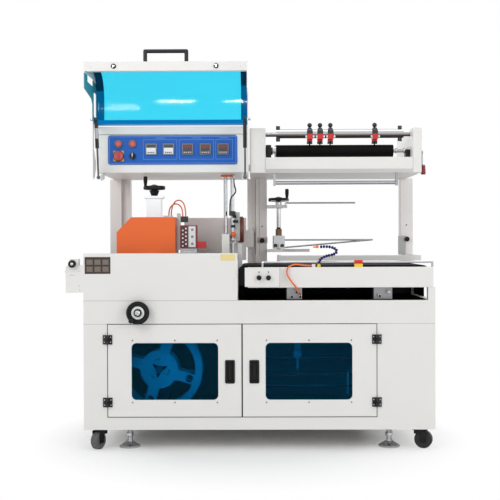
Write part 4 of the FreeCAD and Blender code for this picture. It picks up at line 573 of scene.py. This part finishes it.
dress(make_material("panel_film", BLUE_FILM, gloss=0.2), "control_panel")
dress(make_material("red_caps", finish((0.58, 0.035, 0.035), 0.25), coat=0.3),
      "start_button", "stop_button", "main_switch_dial")
dress(make_material("spring_body", finish((0.02, 0.02, 0.022), 0.28)), "left_spring_tube", "right_spring_tube")
dress(make_material("spring_rod", DARK_STEEL), "left_spring_rod", "right_spring_rod")
dress(hood_clear, "hood_sheet")
dress(window_clear, "left_window", "right_window")
dress(make_material("caster_tyre", finish((0.022, 0.022, 0.022), 0.5), gloss=0.3),
      *[name for name in nodes if name.endswith("caster_wheel")])
# The front left tyre is painted lighter grey as a painted highlight.
dress(make_material("tyre_painted_highlight", finish((0.12, 0.12, 0.12), 0.5), gloss=0.2), "front_left_caster_wheel")
print(len(nodes), "solids are dressed")

# %% [markdown]
# ## Cords
# Two short air hoses loop from the sealing head to its valve, a thin tube runs down over the front
# beam, and a black cable hangs from the control case to the jaw's sensor. Each is one smooth curve
# through the route of its solid.


# %% One curve for each cord
def lay_cord(name, node, points, size, material, body):
    curve = bpy.data.curves.new(name, "CURVE")
    curve.dimensions = "3D"
    curve.bevel_depth = size * MM / 2
    curve.bevel_resolution = 4
    curve.resolution_u = 12
    curve.use_fill_caps = True
    spline = curve.splines.new("NURBS")
    spline.points.add(len(points) - 1)
    for spot, point in zip(spline.points, points):
        spot.co = (*[v * MM for v in point], 1)
    spline.order_u = 3
    spline.use_endpoint_u = True
    curve.materials.append(material)
    piece = bpy.data.objects.new(name, curve)
    scene.collection.objects.link(piece)
    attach(piece, body)
    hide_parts(node)
    return piece


OUTER_LOOP = [(-352, -86, 1011), (-352, -86, 1042), (-334, -94, 1078), (-304, -104, 1080), (-285, -115, 1046),
              (-285, -115, 1006)]
INNER_LOOP = [(-364, -76, 1011), (-364, -76, 1038), (-346, -79, 1063), (-321, -88, 1064), (-298, -115, 1040),
              (-298, -115, 1006)]
BEAM_TUBE = [(268, -296, 789), (236, -296, 789), (196, -306, 797), (163, -322, 785), (158, -325, 756),
             (177, -325, 724), (198, -322, 700), (215, -303, 673), (218, -277, 664), (218, -249, 664)]
JAW_CABLE = [(-70, -95, 1178), (-70, -95, 1150), (-57, -97, 1116), (-84, -96, 1091), (-88, -92, 1062),
             (-88, -92, 1030)]
lay_cord("air_loop_outer", "outer_air_loop", OUTER_LOOP, 6, orange_tube, "seal_head")
lay_cord("air_loop_inner", "inner_air_loop", INNER_LOOP, 6, orange_tube, "seal_head")
lay_cord("beam_tube", "beam_air_tube", BEAM_TUBE, 7, orange_tube, "frame")
lay_cord("hanging_cable", "jaw_cable", JAW_CABLE, 6, cable_jacket, "frame")
print("four cords laid")

# %% [markdown]
# ## Small parts
# The rest are small pressed, turned and moulded parts. Three helpers cover them: a block with
# softened edges, a turned profile spun about an axis, and a piece that gathers such shapes in one
# mesh, turns its faces outwards and rides on the body that carries it.


# %% Helpers: piece, block, turned profile
def make_piece(name, material, body, shapes):
    bm = bmesh.new()
    for shape in shapes:
        shape(bm)
    bmesh.ops.remove_doubles(bm, verts=bm.verts, dist=1e-6)
    bmesh.ops.recalc_face_normals(bm, faces=bm.faces)
    mesh = bpy.data.meshes.new(name)
    bm.to_mesh(mesh)
    bm.free()
    mesh.materials.append(material)
    piece = bpy.data.objects.new(name, mesh)
    scene.collection.objects.link(piece)
    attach(piece, body)
    print(name, "has", len(mesh.polygons), "faces")
    return piece


def block(low, high, soft=0.4):
    def shape(bm):
        made = bmesh.ops.create_cube(bm, size=1)["verts"]
        size = [(b - a) * MM for a, b in zip(low, high)]
        middle = [(a + b) / 2 * MM for a, b in zip(low, high)]
        bmesh.ops.scale(bm, vec=size, verts=made)
        bmesh.ops.translate(bm, vec=middle, verts=made)
        if soft:
            edges = list({edge for vert in made for edge in vert.link_edges})
            bmesh.ops.bevel(bm, geom=edges, offset=soft * MM, segments=2, affect="EDGES", profile=0.5,
                            material=-1)
    return shape


def turned(profile, place, axis, steps=24):
    """Spin (radius, height) corners about the axis through the place; heights run along the axis."""
    def shape(bm):
        along = Vector(axis)
        turn = Vector((0, 0, 1)).rotation_difference(along).to_matrix()
        verts = [bm.verts.new(turn @ Vector((r * MM, 0, h * MM)) + Vector(place) * MM) for r, h in profile]
        edges = [bm.edges.new(pair) for pair in zip(verts, verts[1:])]
        bmesh.ops.spin(bm, geom=verts + edges, cent=Vector(place) * MM, axis=along, dvec=(0, 0, 0),
                       angle=2 * math.pi, steps=steps, use_merge=True)
    return shape


def screw_head(place, axis=(0, -1, 0), radius=3.2):
    tall = radius * 0.55
    return turned([(0, 0), (radius, 0), (radius, tall * 0.5), (radius * 0.7, tall), (radius * 0.32, tall),
                   (radius * 0.28, tall * 0.4), (0, tall * 0.4)], place, axis, 12)


FRONT_OUT, UP = (0, -1, 0), (0, 0, 1)
BASE_LEFT, BASE_RIGHT, BASE_FRONT, BASE_BACK = -708.5, 791.5, -313, 537
bright = make_material("bright_zinc", finish((0.60, 0.60, 0.60), 0.25, 1.0, clouds=0.1))
dark_screw = make_material("dark_screw", finish((0.16, 0.15, 0.14), 0.4, 1.0, clouds=0.1))
print("helpers are ready")

# %% [markdown]
# ## Doors
# Six screws hold each blue window and four hold each hinge. They are small, but they mark the scale
# of the sheet metal, so each is a turned head with a socket.

# %% Screws on the windows
WINDOWS = {"left_door": (-503.5, -133.5), "right_door": (68.5, 438.5)}
WINDOW_LOW, WINDOW_HIGH = 218, 461
for door, (start, end) in WINDOWS.items():
    heads = [screw_head((x, BASE_FRONT, z)) for x in (start + 4, (start + end) / 2, end - 4)
             for z in (WINDOW_LOW - 11, WINDOW_HIGH + 11)]
    make_piece(f"{door}_window_screws", dark_screw, door, heads)

# %% Screws on the hinges, half on the door and half on the base
HINGES = {"left_door": (-605.5, 1), "right_door": (542.5, -1)}
LEAF_FRONT = -317
for door, (edge, inward) in HINGES.items():
    for body, side in ((door, inward), ("frame", -inward)):
        heads = [screw_head((edge + side * 13.5, LEAF_FRONT, low + rise), radius=2.6) for low in (188, 456)
                 for rise in (9, 31)]
        make_piece(f"{door}_hinge_screws_{body}", bright, body, heads)

# %% [markdown]
# A black strip of painted shade fills the gap round the doors, and thin grey lines show where the
# panels of the base meet. Both are flat strips that stand less than half a millimetre proud.

# %% Painted shade round the doors and seams of the body
DOOR_SHADE_OUT, SEAM_OUT = 0.35, 0.3
# The same grey also draws the painted shadow line at the edge of the knob housing.
seam_and_shadow_grey = make_material("seam_and_shadow_grey", finish((0.22, 0.22, 0.22), 0.6))
door_gap_shade_black = make_material("door_gap_shade", GAP_SHADE, gloss=0.2)
strips = [block((-607.6, BASE_FRONT - DOOR_SHADE_OUT, z0), (544.6, BASE_FRONT + 2, z1), 0)
          for z0, z1 in ((142.8, 145.4), (540.6, 543.2))]
strips += [block((x0, BASE_FRONT - DOOR_SHADE_OUT, 143.0), (x1, BASE_FRONT + 2, 543.4), 0)
           for x0, x1 in ((-607.6, -605.0), (-33.9, -29.1), (542.0, 544.6))]
make_piece("door_gap_shade", door_gap_shade_black, "frame", strips)
make_piece("body_seams", seam_and_shadow_grey, "frame",
           [block((x0, BASE_FRONT - SEAM_OUT, z0), (x1, BASE_FRONT + 0.2, z1), 0)
            for x0, x1, z0, z1 in ((-708.2, -50.5, 641.2, 642.4), (-708.2, -607.6, 541.6, 542.6),
                                   (544.6, 791.2, 541.6, 542.6))])

# %% [markdown]
# Each black pull cup has a sprung finger plate inside.

# %% Pull fingers
CUP_MIDDLE = 21
for door, cup in (("left_door", -104.5), ("right_door", -0.5)):
    x = cup + CUP_MIDDLE
    make_piece(f"{door}_pull_finger", black, door, [block((x - 9, -307, 300), (x + 9, -303, 376), 1.2)])

# %% [markdown]
# ## Reel
# The hub of the scrap reel has a hole with three points, drawn as a dark star of painted shade. Its
# outline swings between two radii.

# %% Hole of the reel's hub
STAR_TURN = math.radians(20)


def star(middle, outer, inner, points=3):
    def shape(bm):
        rings, steps = [], points * 6
        for y in (0.0, 1.0):
            ring = []
            for i in range(steps):
                angle = 2 * math.pi * i / steps + STAR_TURN
                reach = inner + (outer - inner) * max(0.0, math.cos(points * (angle - STAR_TURN))) ** 1.5
                ring.append(bm.verts.new(Vector((middle[0] + reach * math.cos(angle), middle[1] + y,
                                                 middle[2] + reach * math.sin(angle))) * MM))
            rings.append(ring)
        for ring in rings:
            bm.faces.new(ring)
        for i in range(steps):
            j = (i + 1) % steps
            bm.faces.new((rings[0][i], rings[0][j], rings[1][j], rings[1][i]))
    return shape


make_piece("reel_hub_star", make_material("hub_hole_shade", GAP_SHADE, gloss=0.1), "scrap_reel",
           [star((-398.4, -193.9, 332), 40, 13)])

# %% [markdown]
# ## Control panel
# The blue film has a pale line round it and a line round each group of meters. The meters are
# standard squares: the two timers have a dark head and a pale field, and the three temperature
# controllers a dark face with a red display. No words are drawn.

# %% Lines on the panel
PANEL_FRONT = -240


def outline(x0, x1, z0, z1, wide=1.2):
    y0, y1 = PANEL_FRONT - 0.5, PANEL_FRONT
    return [block((x0, y0, z0), (x1, y1, z0 + wide), 0), block((x0, y0, z1 - wide), (x1, y1, z1), 0),
            block((x0, y0, z0 + wide), (x0 + wide, y1, z1 - wide), 0),
            block((x1 - wide, y0, z0 + wide), (x1, y1, z1 - wide), 0)]


pale_ink = make_material("pale_ink", finish((0.20, 0.40, 0.72), 0.4))
lines = outline(-606, -56, 1233.5, 1349.5)
for x0, x1 in ((-458.7, -312.3), (-302.4, -153), (-144.3, -71)):
    lines += outline(x0, x1, 1250.5, 1336.4, 0.9)
lines += [block((x - 20, PANEL_FRONT - 0.5, 1342), (x + 20, PANEL_FRONT, 1343.4), 0)
          for x in (-385, -228, -108)]
make_piece("panel_lines", pale_ink, "frame", lines)

# %% Meter faces
METER_FRONT, METER_LOW, METER = -248, 1270, 48
TIMERS = (-447.5, -372.5)
CONTROLLERS = (-290, -213, -136)
white_face = make_material("meter_white", finish((0.78, 0.79, 0.80), 0.35, clouds=0.02))
dark_face = make_material("meter_dark", finish((0.040, 0.038, 0.048), 0.3), gloss=0.3)
red_glow = make_material("red_display", finish((0.22, 0.035, 0.040), 0.4), gloss=0.3)


def on_meters(places, x0, x1, z0, z1, proud, back=0.0, soft=0.5):
    """Blocks on the front of the meters, measured from each one's lower left corner."""
    return [block((x + x0, METER_FRONT - proud, METER_LOW + z0),
                  (x + x1, METER_FRONT - back, METER_LOW + z1), soft) for x in places]


timer_keys = [x + 8 * i for x in TIMERS for i in range(4)]
controller_keys = [x + 9 * i for x in CONTROLLERS for i in range(4)]
make_piece("timer_fields", white_face, "frame", on_meters(TIMERS, 4, METER - 4, 4, 30, 1.2))
make_piece("timer_heads", dark_face, "frame", on_meters(TIMERS, 4, METER - 4, 31, METER - 4, 1.2))
make_piece("timer_keys", black, "frame", on_meters(timer_keys, 9, 14, 7, 12, 2, 1, 0.4))
make_piece("controller_faces", dark_face, "frame", on_meters(CONTROLLERS, 3, METER - 3, 3, METER - 3, 1.2))
make_piece("controller_displays", red_glow, "frame", on_meters(CONTROLLERS, 9, METER - 9, 29, 40, 1.6, 1, 0.2))
make_piece("controller_keys", white_face, "frame", on_meters(controller_keys, 8, 13, 8, 12, 2, 1, 0.4))

# %% [markdown]
# The main switch has a black ring and a bar across its dial, and the selector a white pointer on a
# dark bar. The bars ride on the bodies that turn. A grey frame borders each controller.

# %% Main switch, selector and controller frames
SWITCH, SELECTOR = (-565.5, 1265), (-504.5, 1265)
FRAME_BARS = ((0.5, 4.5, 0.5, 47.5), (43.5, 47.5, 0.5, 47.5), (4.5, 43.5, 0.5, 4.5), (4.5, 43.5, 43.5, 47.5))
make_piece("switch_ring", black, "frame",
           [turned([(19.5, 0), (19.5, 2.5), (23.0, 2.5), (23.5, 0)], (SWITCH[0], METER_FRONT, SWITCH[1]),
                   FRONT_OUT, 40)])
switch_red = make_material("switch_red", finish((0.40, 0.015, 0.02), 0.25), coat=0.3)
make_piece("switch_bar", switch_red, "main_switch",
           [block((SWITCH[0] - 5, -262.5, SWITCH[1] - 17), (SWITCH[0] + 5, -258, SWITCH[1] + 17), 1.4)])
make_piece("selector_pointer", white_face, "selector",
           [block((SELECTOR[0] - 1.6, -257.4, SELECTOR[1] - 2),
                  (SELECTOR[0] + 1.6, -255.8, SELECTOR[1] + 12), 0.3)])
make_piece("selector_bar", dark_face, "selector",
           [block((SELECTOR[0] - 4, -257.0, SELECTOR[1] - 12),
                  (SELECTOR[0] + 4, -255.4, SELECTOR[1] + 12), 0.8)])
make_piece("controller_frames", make_material("controller_grey", finish((0.16, 0.15, 0.16), 0.4)), "frame",
           [bar for x in CONTROLLERS for sides in FRAME_BARS for bar in on_meters((x,), *sides, 1.5, 0.4, 0.3)])

# %% [markdown]
# ## Hood
# A dark blue seal runs along the lower edge of the clear sheet, and bright screws hold the front
# bar. Each rubber bumper has a screw sunk in its middle; the bright spot that shows of it is part of
# the bumper's material. The left gas spring wears a silver sleeve.

# %% Seal and screws of the hood
BAR_FRONT, BUMPER_FRONT, SUNK = -537, -543, 2.4
make_piece("hood_rim_seal", make_material("rim_blue", finish((0.003, 0.17, 0.48), 0.35)), "hood",
           [block((-657, -247.2, 1396.6), (-5.5, -242.8, 1404.2), 0.6)])
make_piece("hood_bar_screws", bright, "hood", [screw_head((x, BAR_FRONT, BAR_MIDDLE)) for x in (-636, -28)])
make_piece("bumper_screws", bright, "hood",
           [screw_head((x, BUMPER_FRONT + SUNK, BAR_MIDDLE), radius=HALF_SCREW) for x in BUMPERS])

# %% Sleeve of the left gas spring
SPRING_EYE, SLEEVE_START = Vector((-646.5, -282, 1170)), 168
spring_way = Vector((0, -55, 242)).normalized()
make_piece("left_spring_label", bright, "left_spring_tube",
           [turned([(8.0, 0), (8.35, 0.3), (8.35, 44), (8.0, 44.3)],
                   SPRING_EYE + spring_way * SLEEVE_START, spring_way)])

# %% [markdown]
# ## Base front
# A plain dark plate with blank fields and a plain yellow strip sit on the front housing; the real
# ones carry print, which is left off.

# %% Plates on the front housing
print_dark = make_material("print_dark", finish((0.055, 0.035, 0.032), 0.45), gloss=0.3)
make_piece("dark_plate", print_dark, "frame",
           [block((-702, BASE_FRONT - 0.8, 757), (-592, BASE_FRONT, 829), 0.3)])
fields = [block((-694 + 34 * i, BASE_FRONT - 1.3, 766 + 30 * k),
                (-668 + 34 * i, BASE_FRONT - 0.7, 788 + 30 * k), 0.2) for i in range(3) for k in range(2)]
make_piece("plate_fields", make_material("dull_print", finish((0.16, 0.13, 0.10), 0.5)), "frame", fields)
make_piece("yellow_strip", make_material("yellow_print", finish((0.80, 0.66, 0.28), 0.45)), "frame",
           [block((-122, BASE_FRONT - 0.8, 812), (-60, BASE_FRONT, 839), 0.3)])

# %% [markdown]
# Small screws close the case at the infeed end, and its knob has a chrome centre. The hand wheels
# have bright hub caps, and the front one a pale ring as well.

# %% Infeed case screws, knob centre and hand wheels
INFEED_SCREWS = ((-727, 768), (-760, 752), (-751, 752), (-726, 706), (-724, 688))
make_piece("infeed_screws", bright, "frame",
           [screw_head((x, BASE_FRONT, z), radius=2.4) for x, z in INFEED_SCREWS])
make_piece("infeed_knob_cap", bright, "infeed_knob",
           [turned([(0, 0), (6, 0), (6, 1), (4, 2.2), (0, 2.2)], (-753.5, -333.3, 800), FRONT_OUT)])
make_piece("front_wheel_hub", bright, "front_hand_wheel",
           [turned([(0, 0), (9, 0), (11, 1.5), (11, 3), (8, 5), (0, 5)], (-472.5, -353, 592), FRONT_OUT)])
make_piece("front_wheel_ring", white_face, "front_hand_wheel",
           [turned([(17, 0), (17.6, 1.2), (27, 1.2), (27.6, 0)], (-472.5, -342, 592), FRONT_OUT, 48)])
for wheel, place in (("seal_hand_wheel", (-428.5, -81, 1148)), ("guide_hand_wheel", (137.5, 187, 1104))):
    make_piece(f"{wheel}_cap", bright, wheel, [turned([(0, 0), (9, 0), (9, 2), (6, 4), (0, 4)], place, UP)])

# %% [markdown]
# ## Sealing area
# The counter beside the sealing head has a white half with three grey keys, and two columns of
# white dots on its dark half.

# %% Counter
COUNTER_FRONT = -172
make_piece("counter_white", white_face, "frame", [block((-266, COUNTER_FRONT, 869), (-238, -170.5, 961), 0.3)])
make_piece("counter_dots", white_face, "frame",
           [turned([(0, 0), (4.2, 0), (3.8, 1), (0, 1)], (-294 + 14 * i, COUNTER_FRONT, 875 + 17 * k + 8 * i),
                   FRONT_OUT, 12) for i in range(2) for k in range(5)])
make_piece("counter_keys", make_material("grey_keys", finish((0.25, 0.25, 0.27), 0.4)), "frame",
           [turned([(0, 0), (6, 0), (5, 1.5), (0, 1.5)], (-252, COUNTER_FRONT, 884 + 31 * k), FRONT_OUT, 16)
            for k in range(3)])

# %% [markdown]
# The posts are slotted profiles with a lock knob on a small plate and a few holes. Their grooves and
# holes are drawn as dark strips and discs of painted shade.

# %% Frame posts: painted shade in grooves and holes, plates and lock knobs
POST_FRONT, PLATE_FRONT = 207, 203
grey_plate = make_material("grey_plate", finish((0.50, 0.50, 0.50), 0.4, clouds=0.1))
plate_pink = make_material("primer_plate", finish((0.62, 0.50, 0.46), 0.5))
make_piece("post_grooves", make_material("groove_shade", finish((0.10, 0.095, 0.09), 0.6)), "frame",
           [block((x0, POST_FRONT - 0.5, 830), (x1, POST_FRONT + 0.3, 1190), 0)
            for x0, x1 in ((26.5, 28.3), (44.0, 45.2))])
make_piece("post_plate_left", plate_pink, "frame", [block((35, PLATE_FRONT, 886), (84, 206.8, 913), 0.5)])
make_piece("post_plate_right", grey_plate, "frame", [block((712, PLATE_FRONT, 829), (748, 206.8, 918), 0.5)])
make_piece("post_knobs", black, "frame",
           [turned([(0, 0), (11, 0), (12, 4), (11, 12), (7, 15), (0, 15)], (x, PLATE_FRONT, z), FRONT_OUT, 20)
            for x, z in ((58, 897.5), (754, 902.5))])
make_piece("post_hole_shade", black, "frame",
           [turned([(0, 0), (3.2, 0), (3.2, 0.6), (0, 0.6)], (x, 206.8, z), FRONT_OUT, 12)
            for x, z in ((58, 965), (752, 970))])

# %% [markdown]
# The jaw's side has a grey plate with black clamps, an orange cap and a bright ball.

# %% Side of the jaw
make_piece("jaw_side_plate", grey_plate, "frame", [block((-66, -64, 896), (-44, -61, 1026), 0.8)])
make_piece("jaw_clamps", black, "frame",
           [block((x - 9, -82, z - 6), (x + 9, -64, z + 6), 2.0)
            for x, z in ((-68, 1006), (-60, 984), (-74, 962))])
make_piece("jaw_orange_cap", make_material("cap_orange", ORANGE), "frame",
           [turned([(0, 0), (9, 0), (12, 5), (12, 10), (8, 15), (0, 16)], (-72, -82, 925), FRONT_OUT, 20)])
make_piece("jaw_bright_ball", bright, "frame",
           [turned([(0, 0), (6, 1.5), (9, 6), (6, 10.5), (0, 12)], (-76, -82, 901), FRONT_OUT, 16)])

# %% [markdown]
# ## Rack and feet
# The roller shaft runs in black bearing brackets between bright collars, and each punch head has a
# collar on both sides. The levelling feet are locked by six-sided nuts under the base.

# %% Rack brackets and collars, foot nuts
ALONG_X = (1, 0, 0)
FEET = [(x, y) for x in (BASE_LEFT + 185, BASE_RIGHT - 185) for y in (BASE_FRONT + 90, BASE_BACK - 90)]
make_piece("rack_brackets", black, "frame",
           [block((74, -140, 1262), (98, -96, 1322), 3), block((694, -140, 1268), (718, -96, 1300), 3)])
make_piece("shaft_collars", bright, "frame",
           [turned([(0, 0), (11, 0), (12, 1), (12, 9), (11, 10), (0, 10)], (x, -115, 1296), ALONG_X, 20)
            for x in (98, 108, 650, 684)])
make_piece("punch_collars", bright, "frame",
           [turned([(0, 0), (6, 0), (6, 7), (0, 7)], (x + side, -146, 1356), ALONG_X, 14)
            for x in PUNCHES for side in (-20, 13)])
make_piece("foot_nuts", bright, "frame",
           [turned([(0, 46), (15, 46), (17, 48), (17, 60), (15, 62), (0, 62)], (x, y, 0), UP, 6)
            for x, y in FEET])

# %% [markdown]
# ## Inside the base and under the outfeed belt
# Through the right window the photograph shows a bearing on a rail, dark rails and a light edge.

# %% Behind the right window
make_piece("inner_bearing", grey_plate, "frame",
           [turned([(0, 0), (12, 0), (20, 3), (20, 10), (12, 13), (0, 13)], (211, -170, 399), FRONT_OUT, 24),
            block((206, -170, 330), (216, -164, 399), 1), block((196, -172, 399), (226, -166, 468), 2)])
make_piece("inner_rails", make_material("rail_dim", finish((0.10, 0.10, 0.10), 0.5)), "frame",
           [block((0, -160, z), (470, -156, z + 7), 0.5) for z in (250, 300, 372, 440)])
make_piece("inner_edge", white_face, "frame", [block((424, -230, 226), (430, -226, 330), 0.5)])

# %% [markdown]
# The recess under the outfeed belt is dark: black sheets of painted shade lie on its floor and at the
# closed end of the bed, and bright clamps with black screws sit on its rails.

# %% Under the outfeed belt
CLAMPS = ((176, 650), (196, 668), (212, 650), (552, 652), (592, 668))
CLAMP_SCREWS = ((182.5, 656.5), (202.5, 674.5), (218.5, 656.5), (558.5, 658.5))
# This near-black matt material is painted shade.
painted_shade_black = make_material("painted_shade_black", finish((0.004, 0.004, 0.004), 0.9), gloss=0.0)
make_piece("recess_shade", painted_shade_black, "frame", [block((-46, -311, 642), (762, 170, 642.7), 0)])
make_piece("bed_end_shade", painted_shade_black, "frame", [block((784, -60, 643), (789, 190, 704), 0)])
make_piece("rail_clamps", bright, "frame",
           [block((x, -286, z), (x + 13, -282, z + 13), 2.5) for x, z in CLAMPS])
make_piece("rail_screws", black, "frame", [screw_head((x, -286, z), radius=5) for x, z in CLAMP_SCREWS])

# %% [markdown]
# The knob housing has a shadow line at its edge and a mark above each speed knob. Between the belts
# a grey side plate stands above a dark block of painted shade.

# %% Knob housing and the gap between the belts
# This thin grey strip is a painted shadow line at the edge of the knob housing.
make_piece("knob_housing_shadow_line", seam_and_shadow_grey, "frame", [block((128.5, -349.2, 700), (129.8, -345, 782), 0)])
make_piece("knob_marks", black, "frame",
           [block((x - 1.8, -349.6, 760.5), (x + 1.8, -349, 767), 0.2) for x in (41.5, 81.5)])
make_piece("belt_side_plate", grey_plate, "frame", [block((-49.5, -246, 760), (-30, -243, 884), 0.8)])
make_piece("belt_gap_shade", painted_shade_black, "frame", [block((-49.5, -246, 644), (-24, -240, 758), 2)])

# %% [markdown]
# ## The jointed blue hose
# The coolant-type hose is a chain of ball-and-socket beads. Barrel beads are set at even steps along
# one smooth curve, which itself is not shown. An orange nozzle and a yellow foot end it.

# %% Route of the hose
BLOW_HOSE = [(297, -304, 794), (297, -304, 812), (322, -304, 830), (360, -304, 836), (378, -304, 850),
             (362, -304, 866), (328, -304, 872), (296, -304, 869)]
route = bpy.data.curves.new("hose_route", "CURVE")
route.dimensions = "3D"
line = route.splines.new("NURBS")
line.points.add(len(BLOW_HOSE) - 1)
for spot, point in zip(line.points, BLOW_HOSE):
    spot.co = (*[v * MM for v in point], 1)
line.order_u = 3
line.use_endpoint_u = True
route.resolution_u = 24
route_object = bpy.data.objects.new("hose_route", route)
route_mesh = bpy.data.meshes.new_from_object(route_object)
route_points = [vert.co / MM for vert in route_mesh.vertices]
bpy.data.objects.remove(route_object)
print("the route has", len(route_points), "points")

# %% Beads, nozzle and foot
BEAD = 10.6
BARREL = [(0, -5.2), (3.6, -5.2), (6.6, -3.0), (6.8, 1.0), (5.2, 3.4), (2.6, 5.2), (0, 5.2)]
beads, travelled = [], 0.0
last = route_points[0]
for here, ahead in zip(route_points[1:], route_points[2:]):
    travelled += (here - last).length
    if travelled >= BEAD:
        travelled = 0.0
        beads.append(turned(BARREL, here, (ahead - here).normalized(), 14))
    last = here
bead_blue = make_material("blue_bead", finish((0.014, 0.009, 0.11), 0.25), gloss=0.3)
bead_piece = make_piece("hose_beads", bead_blue, "frame", beads)
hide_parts("blow_hose")
make_piece("hose_nozzle", make_material("orange_nozzle", finish((0.85, 0.20, 0.02), 0.3)), "frame",
           [turned([(0, 0), (2.2, 0), (4.8, 15), (5.8, 16), (5.8, 24), (0, 24)], (272, -304, 868.5),
                   (1, 0, 0.08))])
make_piece("hose_foot", make_material("yellow_fitting", finish((0.80, 0.55, 0.03), 0.3)), "frame",
           [turned([(0, 0), (8, 0), (8, 8), (6.4, 9.5), (6.4, 14), (0, 14)], (297, -304, 783), UP, 6)])
